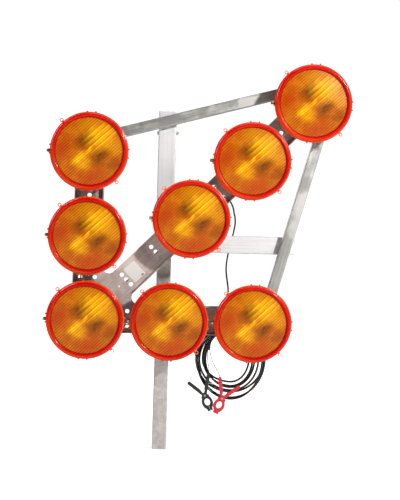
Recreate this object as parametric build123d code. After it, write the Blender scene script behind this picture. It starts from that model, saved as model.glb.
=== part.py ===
"""Portable directional arrow sign for road works.

Eight amber lamps on a folded aluminium arrow, two diagonal braces, two sockets for a square post and
a battery lead with spring clips.

Everything is modelled in arrow coordinates: X to the right, Z up and Y away from the reader, with the
origin on the axis of the corner lamp, in the plane of its rim.  place() moves the finished solids so
that the origin is the centre of the post's lower end.
"""
import os
from math import asin, atan, cos, degrees, hypot, pi, radians, sin, sqrt, tan

from build123d import *

# ---------------------------------------------------------------- driving dimensions, millimetres
# arrow layout
lamp_pitch = 232.0              # lamp to lamp along every arm
first_diagonal_pitch = 404.0    # corner lamp to the first lamp on the diagonal
arm_overrun = 85.0              # channel beyond the last lamp of each arm
diagonal_overrun = 92.0         # channel beyond the last lamp of the diagonal

# folded sheet
sheet = 3.0
channel_width = 82.0
flange_depth = 18.0
bend_radius = 2.0
gusset_radius = 19.0
corner_radius = 30.0
flange_start = 152.0            # first folded stretch, measured from the corner lamp
outer_flange_start = 20.0
hole_radius = 6.0
small_hole_radius = 2.2
gusset_row = 155.0              # rows of three holes across the diagonal
upper_row = 269.0
row_pitch = 18.5
arm_hole_row = 114.5            # pair of holes between the corner lamp and its neighbours
arm_hole_spread = 20.5
centre_hole = 345.0             # single hole in the vertical arm
upper_pair = 514.0              # pair of holes in the diagonal
upper_pair_spread = 20.0
top_hole = 757.0                # single hole near the diagonal's end

# lamps
lamp_radius = 108.0             # outer edge of the lens
lamp_depth = 85.0               # rim plane to the sheet it stands on
lens_radius = 93.0              # clear amber disc inside the rim
lens_wall = 3.0
dome_edge = -8.0                # disc's edge, ahead of the rim plane
dome_height = 7.0
rim_height = 16.0
rim_outer = 104.0
skirt_length = 12.0
skirt_radius = 106.5
skirt_clearance = 0.4
boss_radius = 34.0
housing_wall = 2.5
bowl_front = 13.0
bowl_back = 60.0
stem_radius = 10.0              # threaded stem of the bulb holder
stem_clearance = 0.3
lamp_nut_flats = 27.0
lamp_nut_height = 8.0
lug_radius = 109.3              # eight small lugs round the lens, in four pairs
lug_size = 2.2
lug_half_angle = 6.2
lug_turn = -2.0
ear_radius = 113.5              # two eyelets on the lens
ear_angle = 133.0
ear_outer = 5.6
ear_inner = 3.0
lock_screw_radius = 113.4
lens_turn = 15.0

# braces, sockets and post
brace_size = 30.0
brace_wall = 2.5
brace_slope = 0.2757            # rise over run of the top brace; the right brace is its mirror
brace_rise = 500.7              # height of the top brace's centre line over the corner lamp
brace_bolt_arm = 20.0           # bolt's place across the arm
brace_bolt_diagonal = 22.0      # bolt's place across the diagonal
brace_margin = 13.0             # tube beyond the bolt
bolt_radius = 4.0
bolt_clearance = 0.25
sleeve_size = 50.0
sleeve_wall = 3.0
sleeve_offset = 215.0           # sleeve axes from the corner lamp
sleeve_end = 589.0
sleeve_gap = 7.0                # from the post's far side to the horizontal socket
post_size = 40.0
post_wall = 3.0
post_length = 900.0
post_below = 377.0              # post below the corner lamp's axis
plug_flange = 3.0
plug_depth = 14.0
plug_fit = 0.2
spacer_at = 365.0
spacer_inner = 15.0
spacer_outer = 68.0
rivet_radius = 3.2
stop_radius = 3.0
stop_gap = 0.3

# clamping screws
screw_radius = 3.9
screw_fit = 0.1
screw_pitch = 1.25
screw_turns = 2
clamp_at = 325.0
clamp_block = 18.0
clamp_block_height = 8.0
knob_radius = 12.5
knob_height = 13.0
knob_gap = 4.5
tip_gap = 0.3

# switching box
box_left = 288.0
box_width = 70.0
box_bottom = -26.0
box_height = 62.0
box_depth = 34.0
box_wall = 2.5
box_post_radius = 3.6
lid_depth = 5.0
gland_radius = 6.5
gland_length = 12.0
gland_link = 20.0               # heights of the glands: link cable, lamp cables and battery lead
gland_lamps = 4.5
gland_lead = -11.0
gland_depth = 107.0

# cables
harness_diameter = 3.6
harness_loop = 14.4             # loop of a lamp cable behind its stem
link_diameter = 5.0
lead_diameter = 6.0
wire_diameter = 2.0
cable_fit = 0.05
clip_fit = 0.5

# coil of the battery lead, hung on the hook
coil_centre = (414.0, -120.5)
coil_half_width = 103.0
coil_half_height = 105.5
coil_eye_centre = (413.0, -99.0)
coil_eye_half_width = 54.0
coil_eye_half_height = 72.0
coil_front = 92.0
coil_depth = 26.0

# spring clips
clip_width = 9.0
clip_knuckle_radius = 8.0
clip_gap = 0.25
clip_pin_radius = 1.5
clip_pivot = 20.0               # pivot above the centre of the clip's eye
clip_handle_reach = (29.0, 68.5)
clip_handle_width = 9.5
clip_opening = 17.5             # half of the angle that the handles can close
red_clip_at = (381.0, 74.0, -238.0)
red_clip_tilt = 23.5
black_clip_at = (348.0, 85.0, -232.0)
black_clip_tilt = -22.5

# ---------------------------------------------------------------- derived places
half = channel_width / 2
arm_length = 2 * lamp_pitch + arm_overrun
lamp_along = first_diagonal_pitch + 2 * lamp_pitch
diagonal_length = lamp_along + diagonal_overrun
web_front = lamp_depth
web_back = web_front + sheet
brace_back = web_back + brace_size
post_centre = brace_back + sleeve_size / 2
socket_start = sleeve_offset + post_size / 2 + sleeve_gap
post_top = post_length - post_below + plug_flange
link_gland_end = box_left + box_width + gland_length
stem_end = web_back + lamp_nut_height + 4
harness_bed = web_back + harness_diameter / 2 + 0.6
ROOT2 = sqrt(2)


def diagonal(along, off=0.0):
    """Point of the arrow's plane at a distance along the diagonal and across it, to its upper left."""
    return ((along - off) / ROOT2, (along + off) / ROOT2)


LAMPS = [
    (0.0, 2 * lamp_pitch),
    (0.0, lamp_pitch),
    (0.0, 0.0),
    (lamp_pitch, 0.0),
    (2 * lamp_pitch, 0.0),
    diagonal(first_diagonal_pitch),
    diagonal(first_diagonal_pitch + lamp_pitch),
    diagonal(lamp_along),
]


def place(shape):
    """Move from arrow coordinates to the frame whose origin is the post's foot."""
    return Pos(-sleeve_offset, -post_centre, post_below) * shape


def save(name, *solids):
    placed = [place(solid) for solid in solids]
    shape = placed[0] if len(placed) == 1 else Compound(children=placed)
    shape.label = name
    export_step(shape, f"parts/{name}.step")


def facing(depth):
    """Sketch plane at a depth, seen from the front: x is X, y is Z, and it extrudes to the front."""
    return Plane(origin=(0, depth, 0), x_dir=(1, 0, 0), z_dir=(0, -1, 0))


def slab(sketch, front, back):
    """A flat sketch in X and Z made solid between two depths."""
    return extrude(facing(back) * sketch, back - front)


def turned(points):
    """Revolve a closed outline of (radius, depth) points round the Y axis."""
    outline = make_face(Polyline(*points, close=True))
    return revolve(outline, Axis.Y)


def rod(start, end, radius):
    """Round bar between two points."""
    axis = Vector(*end) - Vector(*start)
    return extrude(Plane(origin=start, z_dir=axis) * Circle(radius), axis.length)


def hexagon(start, end, flats, bore=0.0):
    """Hexagonal bar between two points, with an optional bore."""
    axis = Vector(*end) - Vector(*start)
    profile = RegularPolygon(flats / 2, 6, major_radius=False)
    if bore:
        profile -= Circle(bore)
    return extrude(Plane(origin=start, z_dir=axis) * profile, axis.length)


def square_tube(start, end, size, wall):
    """Square tube between two points of one depth, with rounded outer corners."""
    axis = Vector(*end) - Vector(*start)
    inner = size - 2 * wall
    profile = RectangleRounded(size, size, wall) - RectangleRounded(inner, inner, wall / 3)
    return extrude(Plane(origin=start, x_dir=(0, 1, 0), z_dir=axis) * profile, axis.length)


def end_plug(mouth, outward, size, wall):
    """Moulded plug in the end of a square tube: a cap and a hollow body inside the bore."""
    plane = Plane(origin=mouth, x_dir=(0, 1, 0), z_dir=outward)
    body = size - 2 * wall - 2 * plug_fit
    cap = extrude(plane * RectangleRounded(size, size, wall), plug_flange)
    stub = RectangleRounded(body, body, 2.0) - RectangleRounded(body - 5, body - 5, 1.0)
    return cap + extrude(plane * stub, -plug_depth)


def mirror_diagonal(shape):
    """Mirror across the diagonal: the arrow's two halves are alike."""
    return mirror(shape, Plane(origin=(0, 0, 0), z_dir=(-1, 0, 1)))


# ---------------------------------------------------------------- folded sheet
def plate_outline():
    arm = Pos(0, (arm_length - half) / 2) * Rectangle(channel_width, arm_length + half)
    foot = Pos((arm_length - half) / 2, 0) * Rectangle(arm_length + half, channel_width)
    shaft = Rot(0, 0, 45) * Pos(diagonal_length / 2, 0) * Rectangle(diagonal_length, channel_width)
    outline = arm + foot + shaft
    crotch = half * (1 + ROOT2)
    inner = [
        outline.vertices().sort_by_distance((half, crotch, 0))[0],
        outline.vertices().sort_by_distance((crotch, half, 0))[0],
    ]
    outline = fillet(inner, gusset_radius)
    outer = outline.vertices().sort_by_distance((-half, -half, 0))[0]
    return fillet(outer, corner_radius)


def plate_holes():
    holes = [Pos(u, v) * Circle(stem_radius + stem_clearance) for u, v in LAMPS]
    for row in (gusset_row, upper_row):
        for step in (-1, 0, 1):
            holes.append(Pos(*diagonal(row, step * row_pitch)) * Circle(hole_radius))
    for side in (-1, 1):
        holes.append(Pos(side * arm_hole_spread, arm_hole_row) * Circle(hole_radius))
        holes.append(Pos(arm_hole_row, side * arm_hole_spread) * Circle(hole_radius))
        holes.append(Pos(*diagonal(upper_pair, side * upper_pair_spread)) * Circle(hole_radius))
        holes.append(Pos(*diagonal(spacer_at, side * spacer_rivet_off())) * Circle(rivet_radius))
    holes.append(Pos(0, centre_hole) * Circle(hole_radius))
    holes.append(Pos(*diagonal(top_hole)) * Circle(hole_radius))
    holes.append(Pos(*diagonal(gusset_row - 28)) * Circle(small_hole_radius))
    for bolt in brace_bolts():
        holes.append(Pos(*bolt) * Circle(bolt_radius + bolt_clearance))
    return Sketch() + holes


def spacer_rivet_off():
    """Rivet's place across the diagonal: the middle of the spacer's overlap with the channel."""
    return (spacer_inner + half - sheet) / 2


def flange_strips():
    """Plan view of the folded edges."""
    edge = half - sheet / 2
    outer = arm_length - outer_flange_start
    inner = arm_length - flange_start
    middle_outer = outer_flange_start + outer / 2
    middle_inner = flange_start + inner / 2
    strips = [
        Pos(-edge, middle_outer) * Rectangle(sheet, outer),
        Pos(edge, middle_inner) * Rectangle(sheet, inner),
        Pos(middle_outer, -edge) * Rectangle(outer, sheet),
        Pos(middle_inner, edge) * Rectangle(inner, sheet),
    ]
    length = diagonal_length - flange_start
    for side in (-1, 1):
        strip = Pos(flange_start + length / 2, side * edge) * Rectangle(length, sheet)
        strips.append(Rot(0, 0, 45) * strip)
    return strips


def arrow_plate():
    plate = slab(plate_outline() - plate_holes(), web_front, web_back)
    for strip in flange_strips():
        plate += slab(strip, web_front - flange_depth, web_front)
    back_edges = [
        edge
        for edge in plate.edges().filter_by(GeomType.LINE)
        if edge.length > lamp_pitch and abs(edge.center().Y - web_back) < sheet / 10
    ]
    return fillet(back_edges, bend_radius)


def rating_plate():
    """Small engraved-type plate, left blank, with one corner screw."""
    width, height, thickness = 40.0, 50.0, 1.0
    sketch = Pos(187, 1) * RectangleRounded(width, height, 2.0) - Pos(199, -20.5) * Circle(1.7)
    blank = slab(Rot(0, 0, 45) * sketch, web_front - thickness, web_front)
    u, v = diagonal(199, -20.5)
    face = web_front - thickness
    screw = rod((u, face - 1.6, v), (u, face, v), 3.0) + rod((u, face, v), (u, web_front, v), 1.6)
    return blank, screw


# ---------------------------------------------------------------- braces
def brace_bolts():
    """The four bolt places: two on the arms, two near the end of the diagonal."""
    low = (brace_bolt_arm, brace_rise + brace_slope * brace_bolt_arm)
    # where the brace's centre line crosses the line at brace_bolt_diagonal off the diagonal
    along = (brace_rise * ROOT2 - brace_bolt_diagonal * (1 + brace_slope)) / (1 - brace_slope)
    high = diagonal(along, brace_bolt_diagonal)
    return [low, high, (low[1], low[0]), (high[1], high[0])]


def brace_ends():
    low, high = brace_bolts()[:2]
    run = hypot(high[0] - low[0], high[1] - low[1])
    du = (high[0] - low[0]) / run
    dv = (high[1] - low[1]) / run
    middle = web_back + brace_size / 2
    start = (low[0] - du * brace_margin, middle, low[1] - dv * brace_margin)
    end = (high[0] + du * brace_margin, middle, high[1] + dv * brace_margin)
    return start, end, (du, 0, dv)


def top_brace():
    start, end, _ = brace_ends()
    tube = square_tube(start, end, brace_size, brace_wall)
    for u, v in brace_bolts()[:2]:
        tube -= rod((u, web_back - 1, v), (u, brace_back + 1, v), bolt_radius + bolt_clearance)
    return tube


def brace_plugs():
    start, end, along = brace_ends()
    backwards = tuple(-part for part in along)
    plugs = [
        end_plug(start, backwards, brace_size, brace_wall),
        end_plug(end, along, brace_size, brace_wall),
    ]
    bolt_room = bolt_radius + 4 * bolt_clearance
    for plug, (u, v) in zip(range(2), brace_bolts()[:2]):
        plugs[plug] -= rod((u, web_back, v), (u, brace_back, v), bolt_room)
    return plugs + [mirror_diagonal(plug) for plug in plugs]


def brace_fixings():
    """Bolt, washer and nut at each end of each brace."""
    pieces = []
    head, nut, washer = 5.3, 6.5, 1.6
    for u, v in brace_bolts():
        bolt = hexagon((u, web_front - head, v), (u, web_front, v), 13.0)
        end = brace_back + washer + nut + 3
        bolt += rod((u, web_front, v), (u, end, v), bolt_radius)
        ring = rod((u, brace_back, v), (u, brace_back + washer, v), 8.0)
        ring -= rod((u, brace_back, v), (u, brace_back + washer, v), bolt_radius + bolt_clearance)
        start = brace_back + washer
        hexnut = hexagon((u, start, v), (u, start + nut, v), 13.0, bolt_radius + cable_fit)
        pieces += [bolt, ring, hexnut]
    return pieces


# ---------------------------------------------------------------- sockets and post
def sleeve_holes(shape):
    """Holes of the vertical socket: clamping screw on its right side and the stop bolt across it."""
    side = sleeve_offset + sleeve_size / 2
    opposite = sleeve_offset - sleeve_size / 2
    clamp = rod((side - 2 * sleeve_wall, post_centre, clamp_at), (side + 1, post_centre, clamp_at),
                screw_radius + screw_fit)
    shape -= clamp
    return shape - rod((opposite - 1, post_centre, stop_height()), (side + 1, post_centre, stop_height()),
                       stop_radius + screw_fit)


def stop_height():
    """The stop bolt lies on the post's head plug, which carries the frame."""
    return post_top + stop_radius + stop_gap


def vertical_sleeve():
    tube = square_tube((sleeve_offset, post_centre, socket_start), (sleeve_offset, post_centre, sleeve_end),
                       sleeve_size, sleeve_wall)
    return sleeve_holes(tube)


def horizontal_sleeve():
    return mirror_diagonal(vertical_sleeve())


def sleeve_spacers():
    """Two stubs of brace tube between the diagonal and the sockets."""
    middle = web_back + brace_size / 2
    ends = []
    for off in (spacer_inner, spacer_outer):
        u, v = diagonal(spacer_at, off)
        ends.append((u, middle, v))
    stub = square_tube(ends[0], ends[1], brace_size, brace_wall)
    u, v = diagonal(spacer_at, spacer_rivet_off())
    stub -= rod((u, web_back - 1, v), (u, web_back + brace_wall + 1, v), rivet_radius)
    return [stub, mirror_diagonal(stub)]


def spacer_rivets():
    """Blind rivets through the sheet and the front wall of each spacer."""
    u, v = diagonal(spacer_at, spacer_rivet_off())
    grip = web_back + brace_wall
    rivet = rod((u, web_front - 1.8, v), (u, web_front, v), 6.4)
    rivet += rod((u, web_front, v), (u, grip, v), rivet_radius)
    rivet += rod((u, grip, v), (u, grip + 3, v), 4.6)
    return [rivet, mirror_diagonal(rivet)]


def stop_bolt():
    """Long bolt across the vertical socket with its head left and its nut right."""
    left = sleeve_offset - sleeve_size / 2
    right = sleeve_offset + sleeve_size / 2
    z = stop_height()
    bolt = hexagon((left - 4, post_centre, z), (left, post_centre, z), 10.0)
    bolt += rod((left, post_centre, z), (right + 8, post_centre, z), stop_radius)
    nut = hexagon((right, post_centre, z), (right + 5, post_centre, z), 10.0, stop_radius + cable_fit)
    return bolt, nut


def clamp_block_vertical():
    """Tapped block on the right side of the vertical socket."""
    side = sleeve_offset + sleeve_size / 2
    block = Pos(side + clamp_block_height / 2, post_centre, clamp_at) * Box(
        clamp_block_height, clamp_block, clamp_block)
    return block - rod((side, post_centre, clamp_at), (side + clamp_block_height, post_centre, clamp_at),
                       screw_radius + screw_fit)


def clamp_stud_vertical():
    """Clamping stud; its tip stands just off the post."""
    tip = sleeve_offset + post_size / 2 + tip_gap
    end = knob_start() + knob_height - 3
    return rod((tip, post_centre, clamp_at), (end, post_centre, clamp_at), screw_radius)


def knob_start():
    """Knob's underside, in the direction out of the socket."""
    return sleeve_offset + sleeve_size / 2 + clamp_block_height + knob_gap - screw_pitch


def clamp_knob_vertical():
    """Moulded star knob with a round core and five lobes, bored for the stud."""
    grip = Circle(knob_radius - 3)
    for lobe in range(5):
        angle = radians(72 * lobe + 90)
        grip += Pos((knob_radius - 4) * cos(angle), (knob_radius - 4) * sin(angle)) * Circle(4.0)
    grip -= Circle(screw_radius + cable_fit)
    start = knob_start()
    plane = Plane(origin=(start, post_centre, clamp_at), x_dir=(0, 1, 0), z_dir=(1, 0, 0))
    cap = plane * Pos(0, 0, knob_height - 3) * Circle(knob_radius - 3)
    return extrude(plane * grip, knob_height - 3) + extrude(cap, 3)


# ---------------------------------------------------------------- one lamp, on the Y axis
def bowl_radius(depth):
    """Outer radius of the housing's bowl: a parabola from the flange to the boss."""
    share = (bowl_back - depth) / (bowl_back - bowl_front)
    return boss_radius + (96.0 - boss_radius) * sqrt(share)


def cap_arc(apex, radius, edge):
    """Arc of a shallow dome whose centre lies on the axis, from its apex to its edge."""
    sag = edge - apex
    ball = (radius ** 2 + sag ** 2) / (2 * sag)
    turn = asin(radius / ball) / 2
    return ThreePointArc((0, apex), (ball * sin(turn), apex + ball * (1 - cos(turn))), (radius, edge))


def lamp_housing():
    flange = rim_outer - skirt_clearance
    mid = (bowl_front + bowl_back) / 2
    seat = lens_radius
    edges = [
        Line((seat, 3), (flange, 3)),
        Line((flange, 3), (flange, 10)),
        Line((flange, 10), (96, bowl_front)),
        ThreePointArc((96, bowl_front), (bowl_radius(mid), mid), (boss_radius, bowl_back)),
        Line((boss_radius, bowl_back), (boss_radius, lamp_depth)),
        Line((boss_radius, lamp_depth), (stem_radius + stem_clearance, lamp_depth)),
        Line((stem_radius + stem_clearance, lamp_depth), (stem_radius + stem_clearance, lamp_depth - 3)),
        Line((stem_radius + stem_clearance, lamp_depth - 3), (boss_radius - housing_wall, lamp_depth - 3)),
        Line((boss_radius - housing_wall, lamp_depth - 3), (boss_radius - housing_wall, bowl_back)),
        ThreePointArc((boss_radius - housing_wall, bowl_back), (bowl_radius(mid) - housing_wall - 0.5, mid),
                      (seat, bowl_front - 1)),
        Line((seat, bowl_front - 1), (seat, 3)),
    ]
    shell = revolve(make_face(edges), Axis.Y)
    # lug for the lock screw, behind the lens's skirt on the left of the lamp
    front, back = skirt_length + 0.6, skirt_length + 5
    root = bowl_radius(back) - housing_wall / 2
    lug_reach = lock_screw_radius + 3.6 - root
    lug = Pos(-(root + lug_reach / 2), 0) * RectangleRounded(lug_reach, 9, 3)
    lug += Pos(-(root + 3), 0) * Rectangle(6, 9)
    shell += slab(lug, front, back)
    hole = rod((-lock_screw_radius, front - 1, 0), (-lock_screw_radius, back + 1, 0), 1.5 + cable_fit)
    return shell - hole


def lens():
    """Amber lens moulded in one with its rim, skirt, lugs and eyelets."""
    inner = lens_radius
    skirt_inner = rim_outer
    apex = dome_edge - dome_height
    under = apex + lens_wall
    disc = inner - 1
    seat = dome_edge + lens_wall
    crest = ThreePointArc((inner + 1.5, 1 - rim_height), (inner + 4.5, -rim_height - 0.8),
                          (rim_outer - 3, -rim_height))
    shoulder = ThreePointArc((rim_outer - 3, -rim_height), (rim_outer - 0.6, -rim_height + 1.4),
                             (rim_outer, -rim_height + 4))
    outline = [
        cap_arc(apex, disc, dome_edge),
        Line((disc, dome_edge), (inner + 1.5, 1 - rim_height)),
        crest,
        shoulder,
        Polyline((rim_outer, -rim_height + 4), (rim_outer + 0.6, -3), (lamp_radius - 0.6, -2),
                 (lamp_radius, -1.4), (lamp_radius, 1.2), (skirt_radius, 2.2), (skirt_radius, skirt_length),
                 (skirt_inner, skirt_length), (skirt_inner, 1), (rim_outer - 3, -1), (rim_outer - 3, -11),
                 (inner + 3.5, -12), (inner + 2.5, seat), (disc, seat)),
        cap_arc(under, disc, seat),
        Line((0, under), (0, apex)),
    ]
    body = revolve(make_face(outline), Axis.Y)
    marks = Sketch()
    for quarter in range(4):
        for side in (-1, 1):
            angle = radians(90 * quarter + side * lug_half_angle + lug_turn)
            marks += Pos(lug_radius * cos(angle), lug_radius * sin(angle)) * Circle(lug_size)
    marks -= Circle(lamp_radius - 1)
    eyelets = Sketch()
    for turn in (ear_angle, ear_angle + 180):
        angle = radians(turn)
        at = (ear_radius * cos(angle), ear_radius * sin(angle))
        neck = Rot(0, 0, turn) * Pos((lamp_radius + ear_radius) / 2 - 3, 0) * Rectangle(
            ear_radius - lamp_radius, 1.7 * ear_inner)
        eyelets += Pos(*at) * Circle(ear_outer) + neck
        eyelets -= Pos(*at) * Circle(ear_inner)
    eyelets -= Circle(lamp_radius - 1)
    return body + slab(marks, -1.8, 1.2) + slab(eyelets, -1.4, 1.2)


def reflector():
    """Thin parabolic bowl whose lip lies on the housing's flange."""
    lip = lens_radius - 2
    apex = 52.0
    neck = stem_radius + 1.5
    wall = 1.2
    middle = 32.0
    inner_mid = lip * sqrt((apex - middle) / (apex - 4))
    inner_end = apex - (apex - 4) * (neck / lip) ** 2
    outline = [
        Line((lip, 2.2), (lip + 5, 2.2)),
        Line((lip + 5, 2.2), (lip + 5, 3)),
        Line((lip + 5, 3), (lip + wall, 3)),
        Line((lip + wall, 3), (lip + wall, 4)),
        ThreePointArc((lip + wall, 4), (inner_mid + wall, middle + wall), (neck, inner_end + wall)),
        Line((neck, inner_end + wall), (neck, inner_end)),
        ThreePointArc((neck, inner_end), (inner_mid, middle), (lip, 4)),
        Line((lip, 4), (lip, 2.2)),
    ]
    return revolve(make_face(outline), Axis.Y)


def gasket():
    """Square-section ring on the housing's flange, inside the rim."""
    return turned([(96.6, -1.5), (100.4, -1.5), (100.4, 3), (96.6, 3)])


def bulb_holder():
    """Moulded holder: collar inside the housing, threaded stem through the sheet."""
    points = [(0, 44), (9, 44), (9, 78), (14, 78), (14, 82), (stem_radius, 82), (stem_radius, stem_end),
              (0, stem_end)]
    return turned(points)


def bulb():
    """Bayonet bulb: round glass on a cap that stands on the holder."""
    glass, neck = 9.0, 6.0
    middle = 25.0
    shoulder = middle + sqrt(glass ** 2 - neck ** 2)
    outline = [
        Line((0, middle - glass), (0, 44)),
        Line((0, 44), (7.5, 44)),
        Line((7.5, 44), (7.5, shoulder + 1)),
        Line((7.5, shoulder + 1), (neck, shoulder + 1)),
        Line((neck, shoulder + 1), (neck, shoulder)),
        ThreePointArc((neck, shoulder), (glass, middle), (0, middle - glass)),
    ]
    return revolve(make_face(outline), Axis.Y)


def lamp_nut():
    return hexagon((0, web_back, 0), (0, web_back + lamp_nut_height, 0), lamp_nut_flats,
                   stem_radius + cable_fit)


def lock_screw():
    """Pan-head screw in the housing's lug; its head lies over the lens's lugs."""
    at = -lock_screw_radius
    head = rod((at, -5.2, 0), (at, -2.6, 0), 3.2) - Pos(at, -5.2, 0) * Box(5, 1.6, 0.8)
    return head + rod((at, -2.6, 0), (at, skirt_length + 4.5, 0), 1.5)


def at_lamps(shape):
    return [Pos(u, 0, v) * shape for u, v in LAMPS]


# ---------------------------------------------------------------- switching box
def flasher_box():
    """Open tray on the back of the lower arm."""
    u = box_left + box_width / 2
    v = box_bottom + box_height / 2
    tray = slab(Pos(u, v) * RectangleRounded(box_width, box_height, 5), web_back, web_back + box_depth)
    inner = Pos(u, v) * RectangleRounded(box_width - 2 * box_wall, box_height - 2 * box_wall, 3)
    tray -= slab(inner, web_back + box_wall, web_back + box_depth)
    for corner_u, corner_v in box_corners():
        post = slab(Pos(corner_u, corner_v) * Circle(box_post_radius), web_back + box_wall, web_back + box_depth)
        tray += post
        tray -= rod((corner_u, web_back + box_depth - 12, corner_v),
                    (corner_u, web_back + box_depth, corner_v), 1.5 + cable_fit)
    for start, end in gland_axes():
        inward = Vector(*start) - (Vector(*end) - Vector(*start)).normalized() * (box_wall + 0.5)
        tray -= rod(tuple(inward), tuple(start), 5.0 + cable_fit)
    return tray


def box_corners():
    inset = box_post_radius + box_wall - 0.3
    left, right = box_left + inset, box_left + box_width - inset
    low, high = box_bottom + inset, box_bottom + box_height - inset
    return [(left, low), (right, low), (right, high), (left, high)]


def flasher_lid():
    u = box_left + box_width / 2
    v = box_bottom + box_height / 2
    front = web_back + box_depth
    lid = slab(Pos(u, v) * RectangleRounded(box_width, box_height, 5), front, front + lid_depth)
    lid = fillet(lid.faces().sort_by(Axis.Y)[-1].edges(), 1.5)
    for corner_u, corner_v in box_corners():
        lid -= rod((corner_u, front, corner_v), (corner_u, front + lid_depth, corner_v), 1.7)
        lid -= rod((corner_u, front + 3, corner_v), (corner_u, front + lid_depth, corner_v), 3.4)
    return lid


def flasher_screws():
    front = web_back + box_depth
    screws = []
    for u, v in box_corners():
        screw = rod((u, front - 10, v), (u, front + 3, v), 1.5) + rod((u, front + 3, v), (u, front + 4.8, v), 3.0)
        screws.append(screw)
    return screws


def circuit_board():
    """Timer board, standing on the tray's floor between the corner posts."""
    u = box_left + box_width / 2
    v = box_bottom + box_height / 2
    board = slab(Pos(u, v) * Rectangle(box_width - 24, box_height - 8), web_back + 10, web_back + 11.6)
    for side in (-1, 1):
        board += slab(Pos(u + side * 12, v) * Rectangle(12, 16), web_back + 11.6, web_back + 19)
        board += slab(Pos(u + side * 12, v + 20) * Circle(2.0), web_back + box_wall, web_back + 10)
        board += slab(Pos(u + side * 12, v - 20) * Circle(2.0), web_back + box_wall, web_back + 10)
    return board


def gland_axes():
    """Foot and outer end of each cable gland: two on the right of the box and two on its left."""
    right = box_left + box_width
    axes = []
    for height in (gland_link, gland_lamps):
        axes.append(((right, gland_depth, height), (right + gland_length, gland_depth, height)))
    for height in (gland_lead, gland_lamps):
        axes.append(((box_left, gland_depth, height), (box_left - gland_length, gland_depth, height)))
    return axes


def cable_glands():
    glands = []
    bores = (link_diameter, harness_diameter, lead_diameter, harness_diameter)
    for (start, end), bore in zip(gland_axes(), bores):
        axis = (Vector(*end) - Vector(*start)).normalized()
        collar = tuple(Vector(*start) + axis * 5)
        inside = tuple(Vector(*start) - axis * box_wall)
        body = hexagon(start, collar, 2 * gland_radius) + rod(collar, end, gland_radius - 1)
        body += rod(inside, start, 5.0)
        glands.append(body - rod(tuple(Vector(*end) - axis * 10), end, bore / 2 + cable_fit))
    return glands


# ---------------------------------------------------------------- cables
def bend_radii(points):
    """Largest arc each corner of a route allows: 0.45 of the shorter run over the tangent of half the turn."""
    radii = []
    for before, at, after in zip(points, points[1:], points[2:]):
        one = Vector(*at) - Vector(*before)
        two = Vector(*after) - Vector(*at)
        half_turn = radians(one.get_angle(two)) / 2
        radii.append(0.45 * min(one.length, two.length) / tan(half_turn))
    return radii


def cable(name, points, diameter):
    """Round cable along straight runs joined by tangent arcs; prints its radii and its length."""
    radii = bend_radii(points)
    place_now = Vector(*points[0])
    parts = []
    for index, radius in enumerate(radii):
        before, at, after = (Vector(*points[index + step]) for step in range(3))
        one = (at - before).normalized()
        two = (after - at).normalized()
        cut = radius * tan(radians(one.get_angle(two)) / 2)
        enter = at - one * cut
        leave = at + two * cut
        parts.append(Line(place_now, enter))
        parts.append(TangentArc(enter, leave, tangent=one))
        place_now = leave
    parts.append(Line(place_now, Vector(*points[-1])))
    path = Wire(parts)
    section = Plane(origin=points[0], z_dir=Vector(*points[1]) - Vector(*points[0])) * Circle(diameter / 2)
    tube = sweep(section, path=path)
    ideal = pi * diameter ** 2 / 4 * path.length
    smallest = min(radii) if radii else 0
    print(f"{name}: length {path.length:.1f}, smallest radius {smallest:.1f} "
          f"= {smallest / diameter:.1f} diameters, volume over section times length {tube.volume / ideal:.4f}")
    return tube


def stem_start(lamp, toward):
    """Where a cable leaves a lamp's stem, a little off its axis, and the direction it then takes."""
    run = hypot(toward[0] - lamp[0], toward[1] - lamp[1])
    return run, (toward[0] - lamp[0]) / run, (toward[1] - lamp[1]) / run


def harness_run(start, end, off, name):
    """Lamp cable from one lamp's stem to the next, held against the sheet to one side of the centre line."""
    run, du, dv = stem_start(start, end)
    tangent = harness_loop * tan(radians(22.5))
    step = sqrt(2) * tangent
    top = stem_end + 2 * tangent + step
    drop = top - harness_bed
    far = 7 + step + 2 * tangent
    profile = [(7, 0, stem_end), (7, 0, top - step), (7 + step, off * 0.12, top), (far, off * 0.38, top),
               (far + drop / 2, off * 0.72, top - 0.49 * drop), (far + drop, off * 0.97, harness_bed + 0.2),
               (83, off, harness_bed)]
    count = 2 if run == lamp_pitch else 5
    span = (run - 2 * 83) / count
    straight = [(83 + span * at, off * (1.02 if at % 2 else 1.0), harness_bed) for at in range(1, count)]
    mirrored = [(run - t, o, d) for t, o, d in reversed(profile)]
    points = [(start[0] + du * t - dv * o, d, start[1] + dv * t + du * o)
              for t, o, d in profile + straight + mirrored]
    return cable(name, points, harness_diameter)


def lamp_harness():
    """Six lamp-to-lamp cables and the two that feed the switching box."""
    runs = [(1, 0, 18.5), (2, 1, 18.5), (2, 3, -18.5), (2, 5, -4.0), (5, 6, 18.5), (6, 7, 18.5)]
    solids = []
    for start, end, off in runs:
        solids.append(harness_run(LAMPS[start], LAMPS[end], off, f"harness {start + 1} to {end + 1}"))
    solids.append(cable("harness 4 to box", FEED_LEFT, harness_diameter))
    solids.append(cable("harness 5 to box", FEED_RIGHT, harness_diameter))
    return solids


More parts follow.
